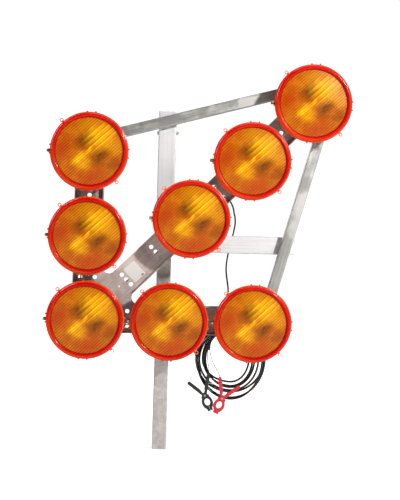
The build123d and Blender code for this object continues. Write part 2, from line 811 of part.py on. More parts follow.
FEED_LEFT = [
    (lamp_pitch, stem_end, 7.0), (lamp_pitch, 109.4, 7.0), (lamp_pitch + 4.8, 117.6, 7.1),
    (lamp_pitch + 13.4, 121.2, 7.1), (lamp_pitch + 22.4, 118.6, 6.6),
    (box_left - gland_length - 13.4, gland_depth, 5.0), (box_left - gland_length, gland_depth, gland_lamps),
]
FEED_RIGHT = [
    (2 * lamp_pitch - 7, stem_end, 0), (2 * lamp_pitch - 7, 112.4, 0), (2 * lamp_pitch - 15.8, 121.2, 1.2),
    (2 * lamp_pitch - 28.2, 121.2, 2.8), (2 * lamp_pitch - 48.2, 107.2, 4.6),
    (link_gland_end + 22, gland_depth - 0.2, 5.2), (link_gland_end, gland_depth, gland_lamps),
]
LINK_ROUTE = [
    (376, 93, 352), (387, 94, 347), (397, 97, 339), (404, 104, 328), (409, 116, 316), (412, 131, 304),
    (413, 148, 290), (412, 163, 272), (409, 174, 251), (405, 179, 227), (401, 178, 203), (397, 169, 180),
    (395, 155, 158), (395, 140, 136), (397, 127, 113), (400, 117, 90), (401, 111, 69), (398, 108, 54),
    (394, 107, 41), (388.5, 107, 29.5), (380, 107, 22.2), (link_gland_end, gland_depth, gland_link),
]
LEAD_ROUTE = [
    (box_left - gland_length, gland_depth, gland_lead), (264, 107, -11.2), (251, 106.8, -14.5),
    (241, 106.3, -23.5), (236.5, 105.8, -36.5), (239, 105.3, -50.5), (247.5, 105, -62.5), (260, 105, -71),
    (275, 105, -77), (290, 105, -82.5), (304, 105, -89.5), (316, 105, -99),
]
RED_WIRE_ROUTE = [
    (355, 95, -78), (355.5, 89, -88), (356, 86.5, -101), (359, 85, -115), (365, 83, -128), (373, 80, -140),
    (379.5, 77, -152), (381.5, 74.5, -162), (381.5, 74, -170),
]
BLACK_WIRE_ROUTE = [
    (343, 95, -82), (343.5, 89.5, -93), (344.5, 87.5, -107), (347, 87, -121), (350, 86, -134), (351, 85, -147),
    (349.5, 85, -157), (348, 85, -164),
]


def lead_coil():
    """Outer shape of the coiled battery lead: a ring that hangs from its top."""
    outer = Pos(*coil_centre) * Ellipse(coil_half_width, coil_half_height)
    eye = Pos(*coil_eye_centre) * Ellipse(coil_eye_half_width, coil_eye_half_height)
    return slab(outer - eye, coil_front, coil_front + coil_depth)


def lead_hook():
    """Bent strip on the back of the lower arm that carries the coil."""
    u = coil_centre[0]
    eye_top = coil_eye_centre[1] + coil_eye_half_height
    width, strip = 16.0, 2.0
    shelf = eye_top - 3 - strip
    reach = coil_front + coil_depth + 4
    back = Pos(u, (shelf + 24) / 2) * Rectangle(width, 24 - shelf)
    hook = slab(back - Pos(u, 10) * Circle(2.6), web_back, web_back + strip)
    hook += slab(Pos(u, shelf + strip / 2) * Rectangle(width, strip), web_back, reach)
    hook += slab(Pos(u, shelf + 7) * Rectangle(width, 14), reach - strip, reach)
    rivet = rod((u, web_back + strip, 10), (u, web_back + strip + 1.5, 10), 4.5)
    rivet += rod((u, web_back, 10), (u, web_back + strip, 10), 2.4)
    return hook + rivet


def cable_clips():
    """Small saddles that hold the lamp cables to the sheet at their middles."""
    off = 18.5 * 1.02
    middle = lamp_pitch / 2
    centres = [(-off, 3 * middle, 0), (-off, middle - 9, 0), (middle - 9, -off, 90)]
    for along, across in ((upper_row - 42, -4.08), (first_diagonal_pitch + middle + 22, off),
                          (first_diagonal_pitch + 3 * middle, off)):
        centres.append((*diagonal(along, across), 45))
    tall = harness_bed + harness_diameter / 2 + 1.2
    width, length = 15.0, 7.0
    tunnel = harness_diameter / 2 + clip_fit
    clips = []
    for u, v, turn in centres:
        saddle = Pos(0, (web_back + tall) / 2, 0) * Box(width, tall - web_back, length)
        saddle -= rod((0, harness_bed, -length), (0, harness_bed, length), tunnel)
        saddle -= Pos(0, (web_back + harness_bed) / 2, 0) * Box(2 * tunnel, harness_bed - web_back, length)
        clips.append(Pos(u, 0, v) * Rot(0, turn, 0) * saddle)
    return clips


# ---------------------------------------------------------------- spring clips
def clip_half(fixed):
    """One half of a spring clip, left of its axis: handle, knuckle at the pivot and curved jaw."""
    reach_x, reach_y = clip_handle_reach
    angle = degrees(atan(reach_x / (reach_y - clip_pivot)))
    length = hypot(reach_x, reach_y - clip_pivot)
    handle = Pos(0, clip_pivot) * Rot(0, 0, angle) * Pos(0, length / 2) * SlotOverall(
        length + clip_handle_width, clip_handle_width, rotation=90)
    jaw = Pos(0, -1) * Ellipse(15.5, 20) + Pos(0, -16) * Rectangle(15, 19)
    jaw += Pos(0, 12) * Rectangle(22, 16)
    jaw -= Ellipse(8, 10.5)
    blank = handle + jaw
    wide = 120.0
    lower = Pos(-wide / 2 - clip_gap, clip_pivot - wide / 2) * Rectangle(wide, wide)
    sector = Pos(-clip_gap, clip_pivot) * make_face(Polyline(
        (0, 0), (-wide * sin(radians(clip_opening)), wide * cos(radians(clip_opening))),
        (-wide, wide), (-wide, 0), close=True))
    blank = blank & (lower + sector)
    middle = clip_width / 3
    outer = clip_width / 2
    body = slab(blank, -outer, outer)
    clear = Pos(0, clip_pivot) * Circle(clip_knuckle_radius + 2 * clip_gap)
    knuckle = Pos(0, clip_pivot) * Circle(clip_knuckle_radius)
    pin = Pos(0, clip_pivot) * Circle(clip_pin_radius + (cable_fit if not fixed else 0.0))
    inner_layer = (-middle / 2, middle / 2)
    outer_layers = ((-outer, -middle / 2 - clip_gap), (middle / 2 + clip_gap, outer))
    if fixed:
        for front, back in outer_layers:
            body -= slab(clear, front - clip_gap, back + clip_gap)
        body += slab(knuckle, *inner_layer)
    else:
        body -= slab(clear, -middle / 2 - clip_gap, middle / 2 + clip_gap)
        for front, back in outer_layers:
            body += slab(knuckle, front, back)
    return body - slab(pin, -outer - 1, outer + 1)


def clip_pin():
    """Pin with a washer head at each end."""
    outer = clip_width / 2
    pin = slab(Circle(clip_pin_radius), -outer - 1, outer + 1)
    for front in (-outer - 1.8, outer + 0.5):
        pin += slab(Circle(3.0), front, front + 1.3)
    return Pos(0, 0, clip_pivot) * pin


def at_clip(shape, centre, tilt, flipped):
    """Place a clip: its own axis leans by tilt, and flipped swaps its left and right halves."""
    if flipped:
        shape = mirror(shape, Plane.YZ)
    return Pos(*centre) * Rot(0, tilt, 0) * shape


def build():
    os.makedirs("parts", exist_ok=True)

    save("arrow_plate", arrow_plate())
    blank, screw = rating_plate()
    save("rating_plate", blank)
    save("rating_plate_screw", screw)

    brace = top_brace()
    save("top_brace", brace)
    save("right_brace", mirror_diagonal(brace))
    save("brace_plugs", *brace_plugs())
    save("brace_bolts", *brace_fixings())

    save("vertical_sleeve", vertical_sleeve())
    save("horizontal_sleeve", horizontal_sleeve())
    save("sleeve_spacers", *sleeve_spacers())
    save("spacer_rivets", *spacer_rivets())
    save("stop_bolt", *stop_bolt())
    block = clamp_block_vertical()
    save("clamp_blocks", block, mirror_diagonal(block))
    stud, knob = clamp_stud_vertical(), clamp_knob_vertical()
    save("vertical_clamp_stud", stud)
    save("vertical_clamp_knob", knob)
    save("horizontal_clamp_stud", mirror_diagonal(stud))
    save("horizontal_clamp_knob", mirror_diagonal(knob))

    foot = (sleeve_offset, post_centre, -post_below)
    head = (sleeve_offset, post_centre, post_length - post_below)
    save("post", square_tube(foot, head, post_size, post_wall))
    save("post_head_plug", end_plug(head, (0, 0, 1), post_size, post_wall))

    for number, shell in enumerate(at_lamps(lamp_housing()), start=1):
        save(f"lamp_{number}_housing", shell)
    for number, disc in enumerate(at_lamps(lens()), start=1):
        save(f"lamp_{number}_lens", disc)
    save("reflectors", *at_lamps(reflector()))
    save("bulbs", *at_lamps(bulb()))
    save("bulb_holders", *at_lamps(bulb_holder()))
    save("lens_gaskets", *at_lamps(gasket()))
    save("lens_lock_screws", *at_lamps(lock_screw()))
    save("lamp_nuts", *at_lamps(lamp_nut()))

    save("flasher_box", flasher_box())
    save("flasher_lid", flasher_lid())
    save("flasher_screws", *flasher_screws())
    save("flasher_board", circuit_board())
    save("cable_glands", *cable_glands())

    save("lamp_harness", *lamp_harness())
    save("cable_clips", *cable_clips())
    save("link_cable", cable("link_cable", LINK_ROUTE, link_diameter))
    save("battery_lead", cable("battery_lead", LEAD_ROUTE, lead_diameter))
    save("lead_coil", lead_coil())
    save("lead_hook", lead_hook())
    save("red_wire", cable("red_wire", RED_WIRE_ROUTE, wire_diameter))
    save("black_wire", cable("black_wire", BLACK_WIRE_ROUTE, wire_diameter))

    body, lever = clip_half(True), mirror(clip_half(False), Plane.YZ)
    save("red_clip_body", at_clip(body, red_clip_at, red_clip_tilt, False))
    save("red_clip_lever", at_clip(lever, red_clip_at, red_clip_tilt, False))
    save("black_clip_body", at_clip(body, black_clip_at, black_clip_tilt, True))
    save("black_clip_lever", at_clip(lever, black_clip_at, black_clip_tilt, True))
    save("clip_pins", at_clip(clip_pin(), red_clip_at, red_clip_tilt, False),
         at_clip(clip_pin(), black_clip_at, black_clip_tilt, True))


build()
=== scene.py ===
"""Portable arrow light: surfaces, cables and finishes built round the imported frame."""

import math

import bmesh
import bpy
import numpy as np
from bpy.props import FloatProperty, FloatVectorProperty, IntProperty, PointerProperty
from bpy.types import Operator, Panel, PropertyGroup
from mathutils import Matrix, Vector


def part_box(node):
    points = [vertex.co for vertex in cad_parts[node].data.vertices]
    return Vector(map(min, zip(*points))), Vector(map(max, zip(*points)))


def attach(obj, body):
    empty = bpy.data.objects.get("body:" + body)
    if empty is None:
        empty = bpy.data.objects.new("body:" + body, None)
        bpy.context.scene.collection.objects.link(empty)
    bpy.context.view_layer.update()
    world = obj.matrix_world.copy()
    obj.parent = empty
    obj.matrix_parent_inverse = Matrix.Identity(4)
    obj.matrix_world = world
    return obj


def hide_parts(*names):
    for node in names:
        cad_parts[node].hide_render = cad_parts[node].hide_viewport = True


bl_info = {
    "name": "Arrow Light Workshop",
    "version": (1, 0, 0),
    "blender": (4, 5, 0),
    "location": "View3D > Sidebar > Arrow Light",
    "description": "Lenses, cables, clips and finishes of a portable arrow light",
    "category": "Object",
}

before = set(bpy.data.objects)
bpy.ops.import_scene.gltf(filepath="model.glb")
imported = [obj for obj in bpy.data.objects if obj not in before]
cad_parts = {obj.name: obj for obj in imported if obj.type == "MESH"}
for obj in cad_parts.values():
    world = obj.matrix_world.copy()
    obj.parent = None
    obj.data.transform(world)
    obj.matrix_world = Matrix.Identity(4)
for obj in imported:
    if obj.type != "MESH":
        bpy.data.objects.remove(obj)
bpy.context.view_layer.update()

MM = 0.001
LAMP_COUNT = 8
DISC_EDGE = 92.0        # edge of the fluted disc
DISC_RIM_DEPTH = -8.0   # disc's edge, ahead of the rim plane
DISC_CROWN = 7.0        # rise of the dome over its edge
DISC_WALL = 3.0
EYELET_POWER = 2 / 0.6  # squareness of an eyelet's section
FACE_MAP = 0.24         # width that a lens's own coordinates cover, in metres


def at(u, depth, v):
    """A point of the arrow's own plane, in millimetres, as a point of the world in metres."""
    return ((u - 215.0) * MM, (depth - 143.0) * MM, (v + 377.0) * MM)


def lamp_centres():
    """Axis and rim plane of every lamp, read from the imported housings."""
    centres = []
    for number in range(1, LAMP_COUNT + 1):
        low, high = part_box(f"lamp_{number}_housing")
        # the lug sticks out on the left, so the axis is found from the right edge and the height
        middle = (low.z + high.z) / 2
        radius = (high.z - low.z) / 2
        centres.append(np.array([high.x - radius, high.y - 0.085, middle]))
    return centres


LAMPS = lamp_centres()


def made_object(name, data):
    """A new object in the scene."""
    made = bpy.data.objects.new(name, data)
    bpy.context.scene.collection.objects.link(made)
    return made


# ---------------------------------------------------------------- surfaces on grids
def circle(count):
    """Angles of equal steps round a circle."""
    return np.linspace(0, 2 * np.pi, count, endpoint=False)


def directions(line):
    """Unit vectors along a line of points."""
    step = np.gradient(line, axis=0)
    return step / np.linalg.norm(step, axis=1)[:, None]


def grid_quads(rows, columns, close_rows=False, close_columns=False):
    """Corner numbers of the quads between neighbouring points of a rows by columns grid."""
    r = np.arange(rows if close_rows else rows - 1)
    c = np.arange(columns if close_columns else columns - 1)
    r, c = np.meshgrid(r, c, indexing="ij")
    r2, c2 = (r + 1) % rows, (c + 1) % columns
    quads = np.stack([r * columns + c, r * columns + c2, r2 * columns + c2, r2 * columns + c], axis=-1)
    return quads.reshape(-1, 4)


def shell(points, close_rows=False, close_columns=False, paint=0):
    """A grid of points with its quads and the number of its material."""
    rows, columns = points.shape[:2]
    return points.reshape(-1, 3), grid_quads(rows, columns, close_rows, close_columns), paint


def piece(name, shells, materials, body, local_centre=None):
    """One closed mesh from several grids; doubles are merged and faces turned outwards.

    With local_centre each point also gets map coordinates: its X and Z from that centre over FACE_MAP."""
    counts = np.cumsum([0] + [len(s[0]) for s in shells])
    points = np.concatenate([s[0] for s in shells])
    quads = np.concatenate([s[1] + start for s, start in zip(shells, counts)])
    paints = np.concatenate([np.full(len(s[1]), s[2]) for s in shells])
    mesh = bpy.data.meshes.new(name)
    mesh.from_pydata(points.tolist(), [], quads.tolist())
    mesh.polygons.foreach_set("material_index", paints.astype(np.int32))
    work = bmesh.new()
    work.from_mesh(mesh)
    bmesh.ops.remove_doubles(work, verts=work.verts, dist=2e-6)
    bmesh.ops.dissolve_degenerate(work, edges=work.edges, dist=1e-7)
    bmesh.ops.recalc_face_normals(work, faces=work.faces)
    work.to_mesh(mesh)
    work.free()
    mesh.polygons.foreach_set("use_smooth", np.ones(len(mesh.polygons), bool))
    mesh.set_sharp_from_angle(angle=math.radians(40))
    if local_centre is not None:
        spots = np.array([vertex.co for vertex in mesh.vertices], np.float32)
        corner = np.zeros(len(mesh.loops), np.int32)
        mesh.loops.foreach_get("vertex_index", corner)
        flat = (spots[corner][:, [0, 2]] - np.asarray(local_centre)[[0, 2]]) / FACE_MAP + 0.5
        layer = mesh.uv_layers.new(name="face_map")
        layer.data.foreach_set("uv", flat.astype(np.float32).ravel())
    for material in materials:
        mesh.materials.append(material)
    made = made_object(name, mesh)
    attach(made, body)
    return made


def softened(outline, passes=2):
    """Corner cutting of a closed line: each pass replaces a corner by points at a quarter and three quarters
    of its sides."""
    line = np.asarray(outline, float)
    for _ in range(passes):
        ahead = np.roll(line, -1, axis=0)
        line = np.stack([0.75 * line + 0.25 * ahead, 0.25 * line + 0.75 * ahead], axis=1).reshape(-1, 2)
    return line


def ring(outline, centre, segments, paint=0):
    """A surface of revolution: outline points (radius, depth) in millimetres, turned round the lamp's axis."""
    turn = circle(segments)
    radius, depth = outline[:, :1], outline[:, 1:]
    points = centre + MM * np.stack([radius * np.cos(turn), depth + 0 * turn, radius * np.sin(turn)], axis=-1)
    return shell(points, close_rows=True, close_columns=True, paint=paint)


def fluted_disc(centre, pitch, height, lean):
    """Domed disc with straight flutes on both faces.

    Points lie on chords parallel to the flutes: one parameter crosses the flutes, the other runs along
    each chord.  Depth = edge depth - crown x (1 - r²/R²), with |cos| ridges of the given height."""
    edge = DISC_EDGE + 0.6
    columns = int(2 * edge / pitch) * 6
    across = edge * np.sin(np.linspace(-1, 1, columns) * np.pi / 2)
    across = 0.35 * across + 0.65 * np.linspace(-edge, edge, columns)
    along = np.linspace(-1, 1, 17)
    b, t = np.meshgrid(across, along, indexing="ij")
    a = t * np.sqrt(np.maximum(edge ** 2 - b ** 2, 0))
    share = (a ** 2 + b ** 2) / edge ** 2
    ridge = height * np.abs(np.cos(np.pi * b / pitch)) * np.clip((1 - share) * 8, 0, 1)
    front = DISC_RIM_DEPTH - DISC_CROWN * (1 - share) + 0.35 * ridge
    back = DISC_RIM_DEPTH + DISC_WALL - DISC_CROWN * (1 - share) - ridge
    x = a * math.cos(lean) - b * math.sin(lean)
    z = a * math.sin(lean) + b * math.cos(lean)
    faces = [centre + MM * np.stack([x, depth, z], axis=-1) for depth in (front, back)]
    rim = np.stack([np.concatenate([f[:, 0], f[::-1, -1]]) for f in faces], axis=0)
    return [shell(faces[0]), shell(faces[1]), shell(rim, close_columns=True)]


def boxier(value, power):
    """sign(v) |v|^(2/power): makes a circle of sines and cosines a superellipse of that power."""
    return np.sign(value) * np.abs(value) ** (2.0 / power)


def bead(place, size, power, paint=0):
    """Rounded bead: a superellipsoid with the given half sizes."""
    theta = np.linspace(0, np.pi, 11)[:, None]
    phi = circle(18)[None, :]
    points = np.stack([
        place[0] + size[0] * boxier(np.sin(theta), power) * boxier(np.cos(phi), power),
        place[1] + size[1] * boxier(np.cos(theta), power) + 0 * phi,
        place[2] + size[2] * boxier(np.sin(theta), power) * boxier(np.sin(phi), power),
    ], axis=-1)
    return shell(points, close_columns=True, paint=paint)


def eyelet(place, radius, thick, deep, paint=0):
    """Flat ring: a superellipse section of the given half thickness and half depth carried round a circle."""
    turn = circle(36)[:, None]
    section = circle(14)[None, :]
    reach = radius + thick * boxier(np.cos(section), EYELET_POWER)
    points = np.stack([
        place[0] + reach * np.cos(turn),
        place[1] + deep * boxier(np.sin(section), EYELET_POWER) + 0 * turn,
        place[2] + reach * np.sin(turn),
    ], axis=-1)
    return shell(points, close_rows=True, close_columns=True, paint=paint)


def bar(path, widths, depths, middle, power, sides=20):
    """A strip carried along an upright flat path: a superellipse section, its width in the path's plane and its
    depth across it, closed by rounded ends."""
    step = directions(path)
    side = np.stack([-step[:, 1], step[:, 0]], axis=1)
    caps = np.array([1.0, 0.92, 0.7, 0.38])
    scale = np.concatenate([np.sqrt(1 - caps ** 2), np.ones(len(path)), np.sqrt(1 - caps[::-1] ** 2)])
    ends = np.minimum(widths, depths) * 0.35
    lead_in = path[0] - step[0] * caps[:, None] * ends[0]
    lead_out = path[-1] + step[-1] * caps[::-1][:, None] * ends[-1]
    line = np.concatenate([lead_in, path, lead_out])
    side = np.concatenate([np.repeat(side[:1], 4, 0), side, np.repeat(side[-1:], 4, 0)])
    wide = np.concatenate([np.repeat(widths[:1], 4), widths, np.repeat(widths[-1:], 4)]) / 2 * scale
    deep = np.concatenate([np.repeat(depths[:1], 4), depths, np.repeat(depths[-1:], 4)]) / 2 * scale
    phi = circle(sides)
    flat = line[:, None, :] + side[:, None, :] * (wide[:, None] * boxier(np.cos(phi), power))[..., None]
    across = deep[:, None] * boxier(np.sin(phi), power)
    points = np.asarray(middle) + MM * np.stack([flat[..., 0], across, flat[..., 1]], axis=-1)
    return shell(points, close_columns=True)


# ---------------------------------------------------------------- nodes
def put(tree, kind, inputs=None, **settings):
    """Add a node, set its properties and fill its inputs from sockets or values."""
    node = tree.nodes.new(kind)
    for key, value in settings.items():
        setattr(node, key, value)
    for key, value in (inputs or {}).items():
        if isinstance(value, bpy.types.NodeSocket):
            tree.links.new(value, node.inputs[key])
        else:
            node.inputs[key].default_value = value
    return node


def sums(tree, operation, first, second=0.0):
    """One step of arithmetic on sockets or numbers."""
    return put(tree, "ShaderNodeMath", {0: first, 1: second}, operation=operation).outputs[0]


def times(tree, first, second):
    return sums(tree, "MULTIPLY", first, second)


def plus(tree, first, second):
    return sums(tree, "ADD", first, second)


def larger(tree, first, second):
    return sums(tree, "MAXIMUM", first, second)


def vectors(tree, operation, first, second):
    """One step of arithmetic on vectors."""
    return put(tree, "ShaderNodeVectorMath", {0: first, 1: second}, operation=operation).outputs[0]


def reach_of(tree, vector):
    """Length of a vector."""
    return put(tree, "ShaderNodeVectorMath", {0: vector}, operation="LENGTH").outputs["Value"]


def feed(tree, inputs, **values):
    """Link outputs to the inputs of a shader or group; an underscore stands for a space."""
    for key, value in values.items():
        tree.links.new(value, inputs[key.replace("_", " ")])


def spread(tree, value, low, high, to_low=0.0, to_high=1.0):
    """Smooth step of a value from one range to another."""
    return put(tree, "ShaderNodeMapRange", {0: value, 1: low, 2: high, 3: to_low, 4: to_high},
               interpolation_type="SMOOTHSTEP").outputs[0]


def tint(tree, share, first, second):
    """Blend of two colours by a share."""
    return put(tree, "ShaderNodeMix", {0: share, 6: first, 7: second}, data_type="RGBA").outputs[2]


def noise(tree, vector, scale, detail=3.0, rough=0.5):
    """Cloudy noise, about 0.5."""
    given = {"Vector": vector, "Scale": scale, "Detail": detail, "Roughness": rough}
    return put(tree, "ShaderNodeTexNoise", given).outputs[0]


def placed(tree, vector, turn=(0, 0, 0), stretch=(1, 1, 1), shift=(0, 0, 0)):
    """Coordinates stretched, turned and shifted."""
    given = {"Vector": vector, "Rotation": turn, "Scale": stretch, "Location": shift}
    return put(tree, "ShaderNodeMapping", given).outputs[0]


def group(name, takes, gives):
    """A new node group with a Vector input, number inputs with their defaults, and number outputs."""
    tree = bpy.data.node_groups.new(name, "ShaderNodeTree")
    sockets = tree.interface
    sockets.new_socket(name="Vector", in_out="INPUT", socket_type="NodeSocketVector")
    for label, value in takes.items():
        sockets.new_socket(name=label, in_out="INPUT", socket_type="NodeSocketFloat").default_value = value
    for label in gives:
        sockets.new_socket(name=label, in_out="OUTPUT", socket_type="NodeSocketFloat")
    return tree, tree.nodes.new("NodeGroupInput").outputs, tree.nodes.new("NodeGroupOutput").inputs


def use_group(tree, name, inputs):
    """Place a shared effect and return its outputs."""
    return put(tree, "ShaderNodeGroup", inputs, node_tree=bpy.data.node_groups[name]).outputs


def build_groups():
    """Effects that several finishes share."""
    tree, source, result = group("Drawn streaks", {"Fineness": 1.0}, ("Shade", "Height"))
    fine = noise(tree, placed(tree, source["Vector"], stretch=(60, 2200, 2200)), source["Fineness"], 4.0, 0.6)
    broad = noise(tree, placed(tree, source["Vector"], stretch=(6, 260, 260)), source["Fineness"], 3.0, 0.6)
    feed(tree, result, Shade=plus(tree, times(tree, fine, 0.45), times(tree, broad, 0.55)), Height=fine)

    tree, source, result = group("Weathering", {"Scale": 12.0}, ("Stain", "Speck", "Scratch"))
    cloud = noise(tree, source["Vector"], source["Scale"], 6.0, 0.62)
    stain = spread(tree, cloud, 0.36, 0.68)
    dots = noise(tree, source["Vector"], times(tree, source["Scale"], 22.0), 3.0, 0.7)
    bent = noise(tree, placed(tree, source["Vector"], (0.3, 0.9, 0.5), (9, 300, 9)), source["Scale"], 1.0, 0.4)
    ridge = sums(tree, "ABSOLUTE", sums(tree, "SUBTRACT", bent, 0.5))
    rare = noise(tree, source["Vector"], times(tree, source["Scale"], 3.0), 2.0)
    rare = spread(tree, rare, 0.5, 0.66)
    feed(tree, result, Stain=stain, Speck=spread(tree, dots, 0.6, 0.72),
         Scratch=times(tree, spread(tree, ridge, 0.012, 0.0), rare))

    tree, source, result = group("Moulded grain", {"Scale": 1400.0}, ("Height", "Dust"))
    cells = put(tree, "ShaderNodeTexVoronoi", {"Vector": source["Vector"], "Scale": source["Scale"]})
    cloud = noise(tree, source["Vector"], times(tree, source["Scale"], 0.02), 5.0, 0.65)
    feed(tree, result, Height=cells.outputs["Distance"], Dust=spread(tree, cloud, 0.45, 0.75))


def finish(name, base, **fixed):
    """A material with a Principled shader; fixed numbers are set on the shader's own sockets."""
    material = bpy.data.materials.new(name)
    material.use_nodes = True
    tree = material.node_tree
    shader = tree.nodes["Principled BSDF"]
    shader.inputs["Base Color"].default_value = (*base, 1.0)
    for key, value in fixed.items():
        shader.inputs[key.replace("_", " ")].default_value = value
    material.diffuse_color = (*base, 1.0)
    where = tree.nodes.new("ShaderNodeTexCoord").outputs["Object"]
    return material, tree, shader, where


def bumped(tree, shader, height, strength, distance):
    """Relief from a height, which stands so far out at full strength."""
    node = put(tree, "ShaderNodeBump", {"Strength": strength, "Distance": distance, "Height": height})
    tree.links.new(node.outputs[0], shader.inputs["Normal"])


def drawn_metal(name, base, along, rough=(0.3, 0.48), metallic=0.9, stain=(0.25, 0.24, 0.23), stain_share=0.25,
                fineness=1.0, contrast=1.0):
    """Extruded or rolled metal: streaks along one direction, faint stains, specks and hairline scratches."""
    material, tree, shader, where = finish(name, base, Metallic=metallic, Specular_IOR_Level=0.5)
    lined = placed(tree, where, turn=along)
    streak = use_group(tree, "Drawn streaks", {"Vector": lined, "Fineness": fineness})
    worn = use_group(tree, "Weathering", {"Vector": where, "Scale": 14.0})
    light = tuple(min(1.0, c * (1 + 0.16 * contrast)) for c in base) + (1.0,)
    dark = tuple(c * (1 - 0.14 * contrast) for c in base) + (1.0,)
    colour = tint(tree, spread(tree, streak["Shade"], 0.36, 0.64), dark, light)
    colour = tint(tree, times(tree, worn["Stain"], stain_share), colour, (*stain, 1.0))
    colour = tint(tree, times(tree, worn["Speck"], 0.28), colour, (*[c * 0.5 for c in base], 1.0))
    colour = tint(tree, times(tree, worn["Scratch"], 0.5), colour, (0.9, 0.9, 0.88, 1.0))
    dull = plus(tree, times(tree, streak["Shade"], 0.6), times(tree, worn["Stain"], 0.4))
    feed(tree, shader.inputs, Base_Color=colour, Roughness=spread(tree, dull, 0.3, 0.7, *rough))
    bumped(tree, shader, streak["Height"], 0.16, 0.0002)
    return material


def galvanised(name, base):
    """Zinc-dipped steel: soft spangle cells under faint streaks, dull stains in patches."""
    material, tree, shader, where = finish(name, base, Metallic=0.85)
    cells = put(tree, "ShaderNodeTexVoronoi", {"Vector": where, "Scale": 120.0, "Randomness": 1.0})
    lined = placed(tree, where, turn=(0, math.pi / 2, 0))
    streak = use_group(tree, "Drawn streaks", {"Vector": lined, "Fineness": 0.8})
    worn = use_group(tree, "Weathering", {"Vector": where, "Scale": 9.0})
    spangle = put(tree, "ShaderNodeSeparateColor", {0: cells.outputs["Color"]}).outputs[0]
    mixed = plus(tree, times(tree, spangle, 0.35), times(tree, streak["Shade"], 0.65))
    dark = (*[c * 0.88 for c in base], 1)
    light = (*[min(1, c * 1.1) for c in base], 1)
    colour = tint(tree, spread(tree, mixed, 0.25, 0.75), dark, light)
    colour = tint(tree, times(tree, worn["Stain"], 0.3), colour, (0.47, 0.43, 0.40, 1))
    colour = tint(tree, times(tree, worn["Speck"], 0.25), colour, (0.3, 0.28, 0.26, 1))
    feed(tree, shader.inputs, Base_Color=colour, Roughness=spread(tree, mixed, 0.25, 0.75, 0.34, 0.5))
    bumped(tree, shader, spangle, 0.06, 0.0003)
    return material


def plated(name, base):
    """Zinc-plated fastener: pale yellowish patches and fine scuffs."""
    material, tree, shader, where = finish(name, base, Metallic=1.0)
    worn = use_group(tree, "Weathering", {"Vector": where, "Scale": 60.0})
    colour = tint(tree, worn["Stain"], (*base, 1), (0.52, 0.47, 0.36, 1))
    colour = tint(tree, times(tree, worn["Speck"], 0.4), colour, (0.2, 0.17, 0.14, 1))
    feed(tree, shader.inputs, Base_Color=colour, Roughness=spread(tree, worn["Stain"], 0, 1, 0.25, 0.45))
    bumped(tree, shader, worn["Stain"], 0.1, 0.0002)
    return material


def moulded(name, base, rough=(0.38, 0.6), dust_share=0.12, grain=1400.0, bump=0.12, **fixed):
    """Moulded plastic or rubber: fine grain, and dust that dulls it in patches."""
    material, tree, shader, where = finish(name, base, **fixed)
    skin = use_group(tree, "Moulded grain", {"Vector": where, "Scale": grain})
    colour = tint(tree, times(tree, skin["Dust"], dust_share), (*base, 1), (0.30, 0.28, 0.26, 1))
    feed(tree, shader.inputs, Base_Color=colour, Roughness=spread(tree, skin["Dust"], 0, 1, *rough))
    bumped(tree, shader, skin["Height"], bump, 0.0001)
    return material


def blob(tree, vector, centre, size):
    """Soft spot: 1 at its centre and 0 at an ellipse of the given half sizes."""
    away = vectors(tree, "SUBTRACT", vector, (*centre, 0.0))
    away = vectors(tree, "DIVIDE", away, (*size, 1.0))
    return spread(tree, reach_of(tree, away), 1.0, 0.0)


# painted light seen through a lens: gold patches are painted highlights and reflections of the bowl, dark ones
# painted shade, red ones paint it deeper red; their middle and half sizes, in lens radii along and across the
# flutes
LENS_PAINTED_LIGHT = {
    "gold_low": ((-0.36, 0.03), (0.42, 0.20)), "gold_foot": ((-0.40, -0.16), (0.38, 0.24)),
    "gold_mid": ((-0.04, 0.02), (0.30, 0.10)), "gold_high": ((0.54, 0.10), (0.66, 0.52)),
    "gold_edge": ((0.66, -0.36), (0.44, 0.52)), "gold_top": ((0.50, 0.62), (0.55, 0.34)),
    "dark_up": ((0.10, 0.34), (0.46, 0.34)), "dark_down": ((0.14, -0.34), (0.50, 0.34)),
    "dark_edge": ((0.30, -0.80), (0.50, 0.34)), "red_left": ((-0.55, 0.58), (0.66, 0.50)),
    "red_low": ((-0.50, -0.66), (0.66, 0.46)),
}
DISC_PAINTED_GLOW = 0.58    # strength of the painted glow, an emission that stands in for light the bowl sends back through the disc
# strength of the painted glow on the rim, an emission of the rim's own colour
RIM_PAINTED_GLOW = 0.16


